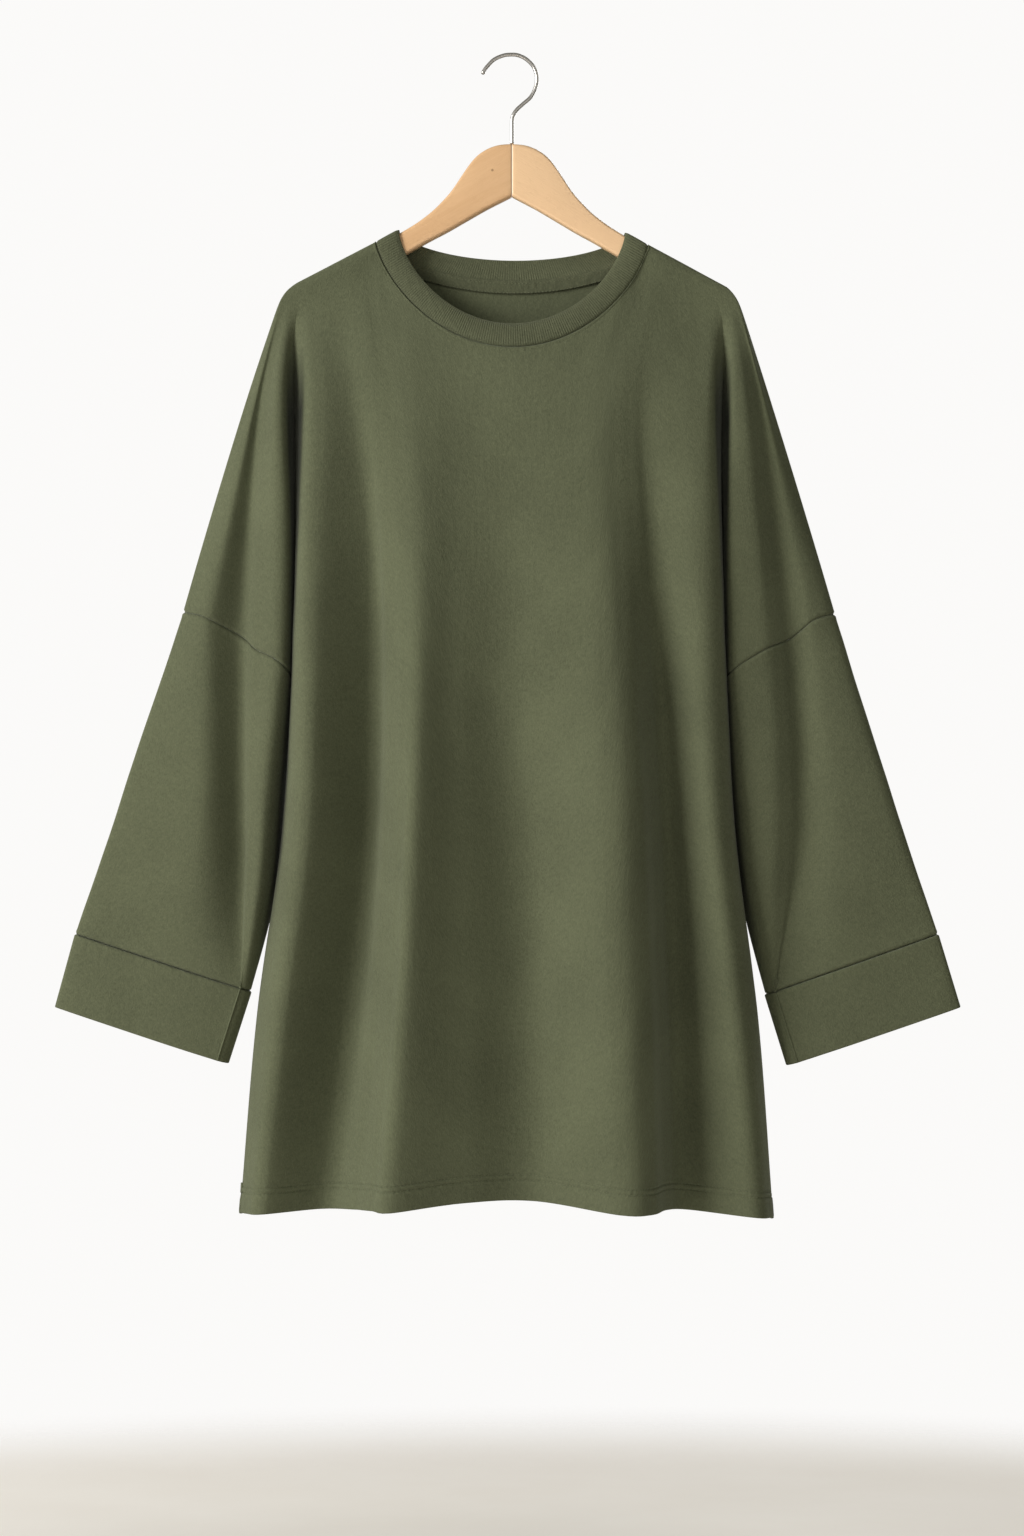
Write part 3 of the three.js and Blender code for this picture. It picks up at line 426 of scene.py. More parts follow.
def addStitches(bm, path, normals, pitch=3.3, length=2.5, radius=0.3, lift=0.05):
    run = [0.0]
    for a, b in zip(path, path[1:]):
        run.append(run[-1] + (b - a).length)
    k = 0
    for n in range(int(run[-1] / pitch)):
        s = (n + 0.5) * pitch
        while run[k + 1] < s:
            k += 1
        t = (s - run[k]) / max(run[k + 1] - run[k], 1e-6)
        along = (path[k + 1] - path[k]).normalized()
        out = normals[k].lerp(normals[k + 1], t)
        out = (out - along * out.dot(along)).normalized()
        side = out.cross(along)
        turn = Matrix((along, side, out)).transposed().to_4x4()
        centre = (path[k].lerp(path[k + 1], t) + out * lift) * mm
        size = Matrix.Diagonal((length / 2 * mm, radius * mm, radius * mm, 1))
        bmesh.ops.create_icosphere(bm, subdivisions=1, radius=1,
                                   matrix=Matrix.Translation(centre) @ turn @ size)


class Wire:
    # a shader socket that can be added, multiplied and so on
    def __init__(self, look, socket):
        self.look, self.socket = look, socket

    def sum(self, operation, a, b=0.0):
        return self.look.add("Math", {"operation": operation}, {0: a, 1: b})

    def __add__(self, other):
        return self.sum("ADD", self, other)

    __radd__ = __add__

    def __sub__(self, other):
        return self.sum("SUBTRACT", self, other)

    def __rsub__(self, other):
        return self.sum("SUBTRACT", other, self)

    def __mul__(self, other):
        return self.sum("MULTIPLY", self, other)

    __rmul__ = __mul__

    def __abs__(self):
        return self.sum("ABSOLUTE", self)

    def above(self, edge):
        return self.sum("GREATER_THAN", self, edge)

    def wave(self):
        return self.sum("SINE", self)

    def part(self, low, high):
        # 0 below low, 1 above high, smooth between
        return self.look.add("MapRange", {"interpolation_type": "SMOOTHSTEP"},
                             {"Value": self, "From Min": low, "From Max": high})


class Finish:
    def __init__(self, name, tree=None):
        if tree is None:
            self.material = bpy.data.materials.new(name)
            self.material.use_nodes = True
            tree = self.material.node_tree
            self.shader = tree.nodes["Principled BSDF"]
        self.tree = tree

    def add(self, kind, settings=None, sockets=None, output=0):
        node = self.tree.nodes.new("ShaderNode" + kind)
        for key, value in (settings or {}).items():
            setattr(node, key, value)
        for key, value in (sockets or {}).items():
            self.feed(node.inputs[key], value)
        return Wire(self, node.outputs[output])

    def feed(self, socket, value):
        if isinstance(value, Wire):
            self.tree.links.new(value.socket, socket)
        else:
            socket.default_value = value

    def noise(self, place, scale, detail=2.0, roughness=0.5):
        return self.add("TexNoise", None, {"Vector": place, "Scale": scale, "Detail": detail,
                                           "Roughness": roughness})

    def stretched(self, place, scale):
        return self.add("Mapping", None, {"Vector": place, "Scale": scale})

    def mix(self, mask, first, second):
        return self.add("Mix", {"data_type": "RGBA", "clamp_factor": True},
                        {0: mask, 6: first, 7: second}, output=2)

    def bump(self, height, distance, strength=1.0):
        return self.add("Bump", None, {"Height": height, "Distance": distance,
                                       "Strength": strength})

    def set(self, **values):
        for key, value in values.items():
            self.feed(self.shader.inputs[key.replace("_", " ")], value)
        return self.material


def scaled(colour, factor):
    return tuple(part * factor for part in colour) + (1,)


jersey = {
    "colour": (0.106, 0.116, 0.066),
    "deep": 0.74,  # darkest grain, as a share of the colour
    "light": 1.3,
    "wale": 0.0011,  # width of one column of knit stitches
    "course": 0.0009,
    "sheen": 0.22,
}


def jerseyLook(name, colour=None, ribFurrowShade=0.0):
    look = Finish(name)
    place = look.add("UVMap", {"uv_map": "cloth"})
    parts = look.add("SeparateXYZ", None, {"Vector": place})
    u, v = parts, Wire(look, parts.socket.node.outputs[1])
    sewn = look.add("Attribute", {"attribute_name": "sewn"}, output=2)
    tucked = look.add("Attribute", {"attribute_name": "tucked"}, output=2)
    grain = look.noise(look.stretched(place, (1, 0.5, 1)), 850, 2, 0.65)
    fuzz = look.noise(look.stretched(place, (1, 0.7, 1)), 260, 3, 0.6)
    cloud = look.noise(place, 11, 3, 0.55)
    tone = 0.5 + (grain - 0.5) * 1.5 + (fuzz - 0.5) * 0.8 + (cloud - 0.5) * 0.8
    tone = tone + sewn * 0.1 * (fuzz - 0.35)
    colour = colour or jersey["colour"]
    # painted shade: on the neck band the mask read here is high in the furrows between the ribs,
    # which come out darker; on the tape, whose mask is 0.8 all over, the whole strip is darker
    tone = tone - (sewn - 0.5) * ribFurrowShade
    base = look.mix(tone, scaled(colour, jersey["deep"]), scaled(colour, jersey["light"]))
    # painted shade: where the tucked attribute is high, deep in the folds by the body, the colour
    # goes to nearly black
    base = look.mix(tucked, base, scaled(colour, 0.05))
    # columns of V stitches
    wale = (u * (2 * math.pi / jersey["wale"])).wave()
    course = (v * (2 * math.pi / jersey["course"]) + abs(wale) * 1.5).wave()
    knit = wale * 0.12 + course * 0.06
    pucker = look.noise(look.stretched(place, (1, 1, 1)), 130, 2, 0.5)
    wrinkle = look.noise(look.stretched(place, (1, 0.45, 1)), 26, 3, 0.5)
    height = knit + (grain - 0.5) * 1.0 + (fuzz - 0.5) * 1.2
    height = height + (pucker - 0.5) * sewn * 3.6 + (wrinkle - 0.5) * 4.2
    return look.set(Base_Color=base, Roughness=0.93, Sheen_Weight=jersey["sheen"],
                    Sheen_Roughness=0.45, Sheen_Tint=scaled((0.8, 0.85, 0.7), 1),
                    Specular_IOR_Level=0.18, Normal=look.bump(height, 0.0003))


clothLook = jerseyLook("olive_jersey")
ribLook = jerseyLook("olive_rib", (0.098, 0.106, 0.061), 0.5)
threadFinish = Finish("olive_thread")
threadPlace = threadFinish.add("TexCoord", output=3)
threadTone = threadFinish.noise(threadPlace, 1500, 2)
threadLook = threadFinish.set(
    Base_Color=threadFinish.mix(threadTone, scaled(jersey["colour"], 0.85),
                                scaled(jersey["colour"], 1.7)),
    Roughness=0.7, Specular_IOR_Level=0.3)
print("cloth finishes made")


panelCut = {
    "wall": 1.0,  # jersey's own thickness
    "overArm": (0, 0.12, 0.4, 1, 2, 3.6, 5.6, 7.8, 10.5),  # rows over the arm, mm down
    "rowsToUnderarm": 72,
    "rowsToHem": 84,
    "underarmToHem": 485.0,
    "seamShares": (0.002, 0.006, 0.012, 0.022),
    "hemTurn": 24,  # depth of the turned-up hem
    "needles": (23.4, 18.4),  # the two rows of hem stitching, above the edge
    "neckNeedle": 3.9,  # the row of stitching below the neck rib
}


def rowAtDepth(depth):
    depths = hang["rowDepths"]
    for k in range(3):
        if depth <= depths[k + 1]:
            return k + (depth - depths[k]) / (depths[k + 1] - depths[k])
    return 3


def panelRows():
    under, hem = hang["underarmRow"], hang["hemRow"]
    rows = [rowAtDepth(depth) for depth in panelCut["overArm"]]
    rows += spreadOut(3, under, panelCut["rowsToUnderarm"], (), panelCut["seamShares"])
    rows += spreadOut(under, hem, panelCut["rowsToHem"], panelCut["seamShares"], ())[1:]
    # rows close together beside the needle lines of the hem
    length = panelCut["underarmToHem"]
    for needle in panelCut["needles"]:
        for aside in (-1.6, -0.8, 0, 0.8, 1.6):
            rows.append(hem - (needle + aside) / length * (hem - under))
    for near in (0.8, 2.2, 25.4, 26.8):
        rows.append(hem - near / length * (hem - under))
    return sorted(set(rows))


def panelColumns(panel):
    columns = [0.0]
    shares = (0.03, 0.08, 0.17, 0.32)
    for k in range(panel.last):
        sewnStart = k == 0 or k in panel.valleys
        sewnEnd = k + 1 == panel.last or k + 1 in panel.valleys
        wide = abs(panel.lines[k + 1]["x"][3] - panel.lines[k]["x"][3]) if (
            len(panel.lines[k]["x"]) > 3) else 10
        deep = abs(panel.lines[k + 1]["out"][3] - panel.lines[k]["out"][3])
        count = max(4, round(math.hypot(wide, deep) / 4.6))
        columns += spreadOut(k, k + 1, count, shares if sewnStart else (),
                             shares if sewnEnd else ())[1:]
    return columns


def softDents(point, side):
    spot = Vector((point.x / 75, side * 9.0, point.z / 130))
    small = Vector((point.x / 28, side * 5.0 + 40, point.z / 46))
    return 0.9 * noise.noise(spot) + 0.35 * noise.noise(small)


def makePanel(name, panel, node):
    rows = panelRows()
    columns = panelColumns(panel)
    if panel.side > 0:
        columns = columns[::-1]
    points = [[panel.point(at, row) for at in columns] for row in rows]
    normals = normalsOf(points, False)
    under = rows.index(hang["underarmRow"])
    folds = [columns.index(0), columns.index(panel.last)]
    valleys = [columns.index(at) for at in panel.valleys]
    last = len(rows) - 1

    def edgesOf(i, j):
        at = columns[i]
        if at < panel.valleys[0]:
            return [(i, 0), (i, under), (folds[0], j)]
        if at > panel.valleys[1]:
            return [(i, 0), (i, under), (folds[1], j)]
        return [(i, 0)] + [(valley, max(j, under)) for valley in valleys]

    distance = nearness(points, edgesOf, 99)
    inNeck = [panel.lines[min(int(at + 1e-9), panel.last)]["kind"] == "neck"
              or (panel.lines[min(int(at) + 1, panel.last)]["kind"] == "neck") for at in columns]
    seam = []
    for j, row in enumerate(points):
        line = []
        for i, point in enumerate(row):
            d = distance[j][i]
            h = (point - points[last][i]).length
            fade = 1 - math.exp(-(d / 22) ** 2)
            offset = softDents(point, panel.side) * fade
            for needle in panelCut["needles"]:
                offset -= 0.85 * math.exp(-((h - needle) / 0.8) ** 2)
            # the doubled hem stands a little proud
            offset += 0.45 / (1 + math.exp(min((h - 24.8) / 0.5, 50)))
            if inNeck[i]:
                down = (point - points[0][i]).length
                offset -= 0.55 * math.exp(-((down - panelCut["neckNeedle"]) / 0.9) ** 2)
                offset += 0.5 * math.exp(-((down - 1.9) / 0.8) ** 2)
            line.append(max(math.exp(-(d / 7) ** 2), math.exp(-((h - 20) / 8) ** 2)))
            row[i] = point + normals[j][i] * offset
        seam.append(line)
    rollSeams(points, normals, distance)

    # painted shade: deep in the fold between body and shoulder hardly any light gets in, so the
    # front's cloth colour there is darkened to nearly black
    def paintedFoldShadeAt(i, j):
        near = min(abs(columns[i] - valley) for valley in panel.valleys)
        low = min(max((shoulderZ(points[j][i].x) - points[j][i].z - 60) / 60, 0), 1)
        behind = min(max((points[j][i].z + 820) / 90, 0), 1)
        return low * behind * min(max((1.05 - near) / 0.24, 0), 1)

    shade = [[paintedFoldShadeAt(i, j) if panel is front else 0 for i in range(len(columns))]
             for j in range(len(rows))]

    # the hem turns up inside: round a small fold and up to its raw edge
    wall = panelCut["wall"]
    normals = normalsOf(points, False)
    turned = []
    for inward, lower in ((0.4, 0.35), (1.2, 0.6), (2.0, 0.35)):
        turned.append([point - normal * inward * wall - Vector((0, 0, lower))
                       for point, normal in zip(points[last], normals[last])])
    middle = len(columns) // 2
    for up in (2, 6, 12, 18, panelCut["hemTurn"] + 1):
        j = max(n for n in range(last)
                if (points[n][middle] - points[last][middle]).length >= up)
        turned.append([point - normal * (2 * wall + 0.45)
                       for point, normal in zip(points[j], normals[j])])

    def keep(i, j):
        inBody = panel.valleys[0] <= min(columns[i], columns[i + 1])
        inBody = inBody and max(columns[i], columns[i + 1]) <= panel.valleys[1]
        return j < under or inBody

    seam += [seam[last]] * len(turned)
    shade += [shade[last]] * len(turned)
    piece = meshFrom(name, points + turned, keep=keep, seam=seam, shade=shade)
    giveWall(piece, wall)
    finishPiece(piece, clothLook, "jersey", node)
    return piece, points, columns


frontCloth, frontPoints, frontColumns = makePanel("front_cloth", front, "front_panel")
backCloth, backPoints, backColumns = makePanel("back_cloth", back, "back_panel")
print("front and back made,", len(frontColumns), "columns,", len(frontPoints), "rows")


sleeveCut = {
    "left": {
        "inner": ((-203, -578), (-207.6, -671.5), (-216.8, -765), (-240, -859.7)),
        "seamOuter": (-397.4, -808.2), "endOuter": (-415.8, -875.4), "endInner": (-261.3, -926),
        # fold lines: share of the width from the outer edge, how far the front and the back
        # stand out, each at a third, two thirds and the whole way down
        "lines": (
            ((0, 0, 0), (0, 0, 0), (0, 0, 0)),
            ((0.04, 0.04, 0.035), (9, 8, 7), (8, 7, 7)),
            ((0.47, 0.53, 0.64), (23, 21, 12.5), (17, 16, 12.5)),
            ((0.69, 0.77, 0.92), (5, 3.8, 9.5), (11, 11, 10)),
            ((0.77, 0.835, 0.94), (14, 11.5, 9), (13, 12, 9.3)),
            ((0.86, 0.9, 0.96), (22, 18, 8), (17, 14, 8.2)),
            ((0.95, 0.967, 0.98), (15, 11, 5.5), (13, 11, 5.6)),
            ((1, 1, 1), (0, 0, 0), (0, 0, 0)),
        ),
    },
    "right": {
        "inner": ((197.5, -578), (199.5, -671.5), (209.5, -765), (232.8, -862.5)),
        "seamOuter": (388.2, -808.2), "endOuter": (408.5, -875.4), "endInner": (253, -927.8),
        "lines": (
            ((0, 0, 0), (0, 0, 0), (0, 0, 0)),
            ((0.05, 0.05, 0.035), (13.5, 13, 7.5), (8, 7, 7)),
            ((0.31, 0.37, 0.58), (14.5, 14, 12), (16, 15, 12.5)),
            ((0.5, 0.62, 0.92), (6.5, 5.5, 9.5), (11, 11, 10)),
            ((0.6, 0.72, 0.94), (14, 11.5, 9), (13, 12, 9.3)),
            ((0.73, 0.82, 0.96), (21, 18, 8), (16, 14, 8.2)),
            ((0.94, 0.955, 0.98), (18, 14.5, 5.5), (13, 11, 5.6)),
            ((1, 1, 1), (0, 0, 0), (0, 0, 0)),
        ),
    },
    "tuck": (0, 8, 8, 0),  # the inner edge slips this far back, behind the side of the body
    "columns": (6, 16, 11, 6, 5, 5, 6),
    "rows": 66,
    "seamShares": (0.003, 0.008, 0.015, 0.028),
    "proud": 0.8,  # how far the cuff stands out from the sleeve
    "cuffDeep": 77,
}


def sleevePoint(side, isBack, a, share):
    cut = sleeveCut[side]
    lines = cut["lines"]

    def alongSleeve(values, s):
        return cubicAt(lambda k: values[k], s * 3, 0, 3)

    def section(s):
        key = 2 if isBack else 1
        across = cubicAt(lambda k: alongSleeve((lines[k][0][0],) + lines[k][0], s), a, 0, 7, 0, 0)
        out = cubicAt(lambda k: alongSleeve((lines[k][key][0],) + lines[k][key], s),
                      a, 0, 7, 1.5, 1.3)
        foldAt = 0 if side == "left" else front.last
        fold = front.point(foldAt, hang["underarmRow"])
        x = between(between(fold.x, cut["seamOuter"][0], s),
                    alongSleeve([p[0] for p in cut["inner"]], s), across)
        z = between(between(fold.z, cut["seamOuter"][1], s),
                    alongSleeve([p[1] for p in cut["inner"]], s), across)
        tucked = alongSleeve(sleeveCut["tuck"], s) * max(across, 0) ** 12
        return Vector((x, tucked + (0 if a in (0, 7) else (out if isBack else -out)), z))

    panel = back if isBack else front
    loop = panel.point(a if side == "left" else panel.last - a, hang["underarmRow"])
    fade = math.exp(-(share / 0.3) ** 1.4) * min((1 - share) / 0.1, 1)
    return section(share) + (loop - section(0)) * fade


def makeSleeve(side):
    places = [0.0]
    for k, count in enumerate(sleeveCut["columns"]):
        places += spreadOut(k, k + 1, count, (), (0.08, 0.2, 0.4) if k == 6 else ())[1:]
    if side == "right":
        places.reverse()
    columns = [(False, a) for a in places] + [(True, a) for a in places[-2:0:-1]]
    rows = spreadOut(0, 1, sleeveCut["rows"], sleeveCut["seamShares"], sleeveCut["seamShares"])
    points = [[sleevePoint(side, isBack, a, share) for isBack, a in columns] for share in rows]
    ring = [point.copy() for point in points[-1]]
    ringNormals = normalsOf(points, True)[-1]
    normals = normalsOf(points, True)
    inner = columns.index((False, 7))
    last = len(rows) - 1
    distance = nearness(points, lambda i, j: [(i, 0), (i, last), (inner, j)], 99)
    for j, row in enumerate(points):
        for i, point in enumerate(row):
            fade = 1 - math.exp(-(distance[j][i] / 22) ** 2)
            dent = softDents(point, 1 if columns[i][0] else -1) * fade
            row[i] = point + normals[j][i] * dent
    rollSeams(points, normals, distance)
    seam = [[math.exp(-(d / 7) ** 2) for d in line] for line in distance]
    # painted shade: the front of the sleeve is darkened towards its inner edge, deep in the fold
    # by the body
    shade = [[min(max((a - 5.95) / 0.3, 0), 1) * (not isBack) * min(share / 0.02, 1)
              * min(max((0.85 - share) / 0.2, 0), 1) for isBack, a in columns] for share in rows]
    sleeve = meshFrom("sleeve_cloth_" + side, points, closed=True, seam=seam, shade=shade)
    giveWall(sleeve, panelCut["wall"])
    finishPiece(sleeve, clothLook, "jersey", "sleeve_" + side)

    # the cuff is a doubled band: outside down, round the fold and up inside to the seam
    cut = sleeveCut[side]
    seamInner = Vector((cut["inner"][3][0], 0, cut["inner"][3][1]))
    seamOuter = Vector((cut["seamOuter"][0], 0, cut["seamOuter"][1]))
    downOuter = Vector((cut["endOuter"][0], 0, cut["endOuter"][1])) - seamOuter
    downInner = Vector((cut["endInner"][0], 0, cut["endInner"][1])) - seamInner

    def cuffPoint(i, share, inward, lower=0):
        a = (ring[i].x - seamOuter.x) / (seamInner.x - seamOuter.x)
        down = downOuter.lerp(downInner, min(max(a, 0), 1))
        start = 0.3 / down.length
        point = ring[i] + ringNormals[i] * (sleeveCut["proud"] - inward)
        return point + down * (start + share * (1 - start)) + down.normalized() * lower

    outside = [(share, 0.0, 0.0) for share in spreadOut(0, 0.985, 15, (0.012, 0.03, 0.06), ())]
    outside[0] = (0, 1.3, 0)
    outside[1] = (outside[1][0], 0.2, 0)
    fold = [(0.994, 0.12, 0), (0.999, 0.5, 0), (1, 1.15, 0.1), (0.999, 1.8, 0), (0.994, 2.2, 0)]
    inside = [(share, 2.3, 0) for share in (0.95, 0.8, 0.6, 0.4, 0.2, 0.03)]
    steps = outside + fold + inside + outside[:1]
    band = [[cuffPoint(i, *step) for i in range(len(ring))] for step in steps]
    deep = sleeveCut["cuffDeep"]
    bandSeam = [[max(math.exp(-(share * deep / 8) ** 2),
                     0.25 * math.exp(-((1 - share) * deep / 3) ** 2))] * len(ring)
                for share, _, _ in steps]
    cuff = meshFrom("cuff_band_" + side, band, closed=True, seam=bandSeam)
    finishPiece(cuff, clothLook, "jersey", "cuff_" + side)
    return sleeve, cuff, points


sleeves = {side: makeSleeve(side) for side in ("left", "right")}
print("sleeves and cuffs made")


neckTrim = {
    "neckPoint": 11,  # fold line at the neck point, counted from either side
    "ribPitch": 2.3,  # one rib and one furrow
    "ribDepth": 0.24,
    "doubled": 2.2,  # thickness of the folded band
    "bulge": 1.2,
    "tapeDepths": (-1.8, -0.6, 0.8, 2.2, 4, 6, 8, 9.2, 10),
    "tapeHalf": 99,
    "tapeWall": 0.7,
}


def neckPath():
    # the seam from the left neck point round the front and back behind, in even steps
    left, right = neckTrim["neckPoint"], front.last - neckTrim["neckPoint"]
    raw = []
    for panel, ats in ((front, spreadOut(left, right, 700)), (back, spreadOut(right, left, 700))):
        raw += [(panel, at, panel.point(at, 0)) for at in ats[:-1]]
    run = [0.0]
    for k in range(len(raw)):
        run.append(run[-1] + (raw[(k + 1) % len(raw)][2] - raw[k][2]).length)
    count = 4 * round(run[-1] / neckTrim["ribPitch"])
    path, k = [], 0
    for n in range(count):
        s = run[-1] * n / count
        while run[k + 1] < s:
            k += 1
        t = (s - run[k]) / (run[k + 1] - run[k])
        nearest = raw[k]
        following = raw[(k + 1) % len(raw)]
        path.append((nearest[0], nearest[2].lerp(following[2], t)))
    return path


def makeRib():
    path = neckPath()

    def freeEdge(panel, point):
        behind = panel is back
        drop = neckline["back" if behind else "front"]
        freeDrop = neckline["freeBack" if behind else "freeFront"]
        level = point.z + point.x * hang["tilt"]
        sunk = min(max((neckline["top"] - level) / drop, 0), 1)
        inwards = 2 * sunk ** 4 if behind else -6 * sunk ** 2
        x = neckline["freeHalf"] * point.x / neckline["half"]
        z = neckline["freeTop"] - freeDrop * sunk ** 0.92 - x * hang["tilt"]
        nearTop = min(abs(point.y) / 6, 1)
        return Vector((x, point.y - inwards * nearTop, z))

    free = [freeEdge(panel, point) for panel, point in path]

    def ribPoint(n, t):
        seamPoint = path[n][1]
        bulge = 4 * t * (1 - t) * neckTrim["bulge"] * max(min(seamPoint.y / 5, 1), -1)
        return free[n].lerp(seamPoint, t) + Vector((0, bulge, 0))

    shares = [0, 0.03, 0.08, 0.16, 0.26, 0.37, 0.48, 0.59, 0.7, 0.8, 0.88, 0.94, 0.975, 1]
    face = [[ribPoint(n, t) for n in range(len(path))] for t in shares]
    normals = normalsOf(face, True)
    deep = neckTrim["doubled"]
    outer = []
    for j, t in enumerate(shares):
        furrow = min(t / 0.1, (1 - t) / 0.08, 1)
        rolled = 0.9 * math.exp(-((1 - t) * 24 / 1.2) ** 2) + 0.35 * math.exp(-(t * 24 / 1.4) ** 2)
        outer.append([point + normals[j][n] * (
            neckTrim["ribDepth"] * furrow * math.cos(n * math.pi / 2 + 0.4) - rolled)
            for n, point in enumerate(face[j])])
    up = [(face[0][n] - face[1][n]).normalized() for n in range(len(path))]
    foldOver = [[face[0][n] - normals[0][n] * deep * share + up[n] * lift
                 for n in range(len(path))]
                for share, lift in ((0.8, 0.45), (0.5, 0.75), (0.25, 0.5))]
    inner = [[point - normals[j][n] * (deep - neckTrim["ribDepth"] * 0.7
                                       * math.cos(n * math.pi / 2 + 0.4))
              for n, point in enumerate(face[j])] for j in (13, 11, 9, 6, 3, 1, 0)]
    rows = inner + foldOver + outer + inner[:1]
    # on the neck band the seam mask follows the furrows between the ribs, where the rib finish
    # paints shade
    seam = [[0.5 - 0.5 * math.cos(n * math.pi / 2 + 0.4) for n in range(len(path))]] * len(rows)
    rib = meshFrom("neck_band", rows, closed=True, seam=seam)
    finishPiece(rib, ribLook, "rib", "neck_rib")
    return rib


rib = makeRib()


def makeTape():
    neckPoint = neckTrim["neckPoint"]
    ats = [at for at in spreadOut(neckPoint, back.last - neckPoint, 160)
           if abs(back.point(at, 0).x) < neckTrim["tapeHalf"]]
    rows = [[back.point(at, rowAtDepth(depth)) for at in ats] for depth in neckTrim["tapeDepths"]]
    normals = normalsOf(rows, False)  # towards the front, the side that shows
    inset = panelCut["wall"] + neckTrim["tapeWall"] + 1.6
    rows = [[point + normals[j][i] * (inset + 0.25 * math.sin(math.pi * j / (len(rows) - 1)))
             for i, point in enumerate(row)] for j, row in enumerate(rows)]
    tape = meshFrom("neck_tape_strip", rows, seam=[[0.8] * len(ats)] * len(rows))
    giveWall(tape, neckTrim["tapeWall"])
    finishPiece(tape, ribLook, "rib", "neck_tape")
    return tape, rows, normals


tape, tapeRows, tapeNormals = makeTape()
print("neck rib and tape made")


def lineAcross(points, columns, ends, place):
    # path and normals along a panel at a place given by a function of column
    normals = normalsOf(points, False)
    path, outs = [], []
    for i, at in enumerate(columns):
        if ends[0] <= at <= ends[1]:
            j, t = place(i)
            path.append(points[j][i].lerp(points[j + 1][i], t))
            outs.append(normals[j][i])
    return path, outs


def aboveHem(points, height):
    def place(i):
        last = len(points) - 1
        edge = points[last][i]
        j = last - 1
        while (points[j][i] - edge).length < height:
            j -= 1
        far, near = (points[j][i] - edge).length, (points[j + 1][i] - edge).length
        return j, (far - height) / max(far - near, 1e-6)
    return place


def belowNeck(points, depth):
    def place(i):
        j = 0
        while (points[j + 1][i] - points[0][i]).length < depth:
            j += 1
        near = (points[j][i] - points[0][i]).length
        far = (points[j + 1][i] - points[0][i]).length
        return j, (depth - near) / max(far - near, 1e-6)
    return place


def makeStitches():
    threads = {key: bmesh.new() for key in ("hem", "neck", "tape")}
    neckStart = neckTrim["neckPoint"] + 0.15
    for panel, points, columns in ((front, frontPoints, frontColumns),
                                   (back, backPoints, backColumns)):
        inset = (panel.valleys[0] + 0.15, panel.valleys[1] - 0.15)
        for needle in panelCut["needles"]:
            addStitches(threads["hem"],
                        *lineAcross(points, columns, inset, aboveHem(points, needle)))
        addStitches(threads["neck"],
                    *lineAcross(points, columns, (neckStart, panel.last - neckStart),
                                belowNeck(points, panelCut["neckNeedle"])))
    for j in (2, len(tapeRows) - 2):
        addStitches(threads["tape"], tapeRows[j], tapeNormals[j])
    for key, bm in threads.items():
        for face in bm.faces:
            face.smooth = True
        finishPiece(objectFrom("stitches_" + key, bm), threadLook, "jersey")


makeStitches()
print("stitching done")


hanger = {
    "half": 6.0,  # half the thickness of the wood
    "corner": 3.4,
    # across from the middle, top edge and under edge, up to where the arm runs straight
    "outline": ((0, -81.2, -129.3), (8, -81.7, -133.4), (15, -83, -137), (23, -86.2, -141.2),
                (31, -91.5, -145.8), (38, -99, -149.9), (46, -110.5, -154.6), (55, -124, -159.9),
                (64, -134.5, -164.9), (74, -144.3, -170.2), (88, -155, -178.2),
                (104, -164.8, -187.7)),
    "tip": 203,
    "grain": (1.0, 0.42, 0.7),
    "pale": (0.83, 0.54, 0.3, 1),
    "brown": (0.68, 0.395, 0.19, 1),
}


def woodLook():
    look = Finish("beech")
    place = look.add("TexCoord", output=3)
    parts = look.add("SeparateXYZ", None, {"Vector": place})
    node = parts.socket.node
    x, y, z = (abs(Wire(look, node.outputs[0])), Wire(look, node.outputs[1]),
               Wire(look, node.outputs[2]))
    # the grain runs down along each arm from the middle joint
    along = x * 0.87 - z * 0.49
    across = x * 0.49 + z * 0.87
    spot = look.add("CombineXYZ", None, {"X": along * 1.0, "Y": across * 13.0, "Z": y * 9.0})
    broad = look.noise(spot, 9, 4, 0.6)
    spotFine = look.add("CombineXYZ", None, {"X": along * 1.0, "Y": across * 26.0, "Z": y * 26.0})
    fine = look.noise(spotFine, 38, 3, 0.65)
    flecks = look.noise(look.stretched(spotFine, (3, 1, 1)), 60, 2, 0.5).part(0.6, 0.72)
    tone = 0.42 + (broad - 0.5) * 1.1 + (fine - 0.5) * 0.55
    right = Wire(look, node.outputs[0]).above(0)
    base = look.mix(tone, hanger["pale"], hanger["brown"])
    base = look.mix(flecks * 0.16, base, hanger["brown"])
    base = look.mix(right * 0.6, base, (0.98, 0.68, 0.41, 1))
    # one small knot left of the joint
    away = look.add("VectorMath", {"operation": "DISTANCE"},
                    {0: place, 1: (-0.018, -0.006, -0.1058)}, output=1)
    knot = 1 - away.part(0.0006, 0.0016)
    base = look.mix(knot * 0.65, base, (0.2, 0.09, 0.035, 1))
    height = (fine - 0.5) * 0.6 + (broad - 0.5) * 0.5 - flecks * 0.4
    return look.set(Base_Color=base, Roughness=0.42 + (fine - 0.5) * 0.2, Coat_Weight=0.25,
                    Coat_Roughness=0.3, Normal=look.bump(height, 0.00018))


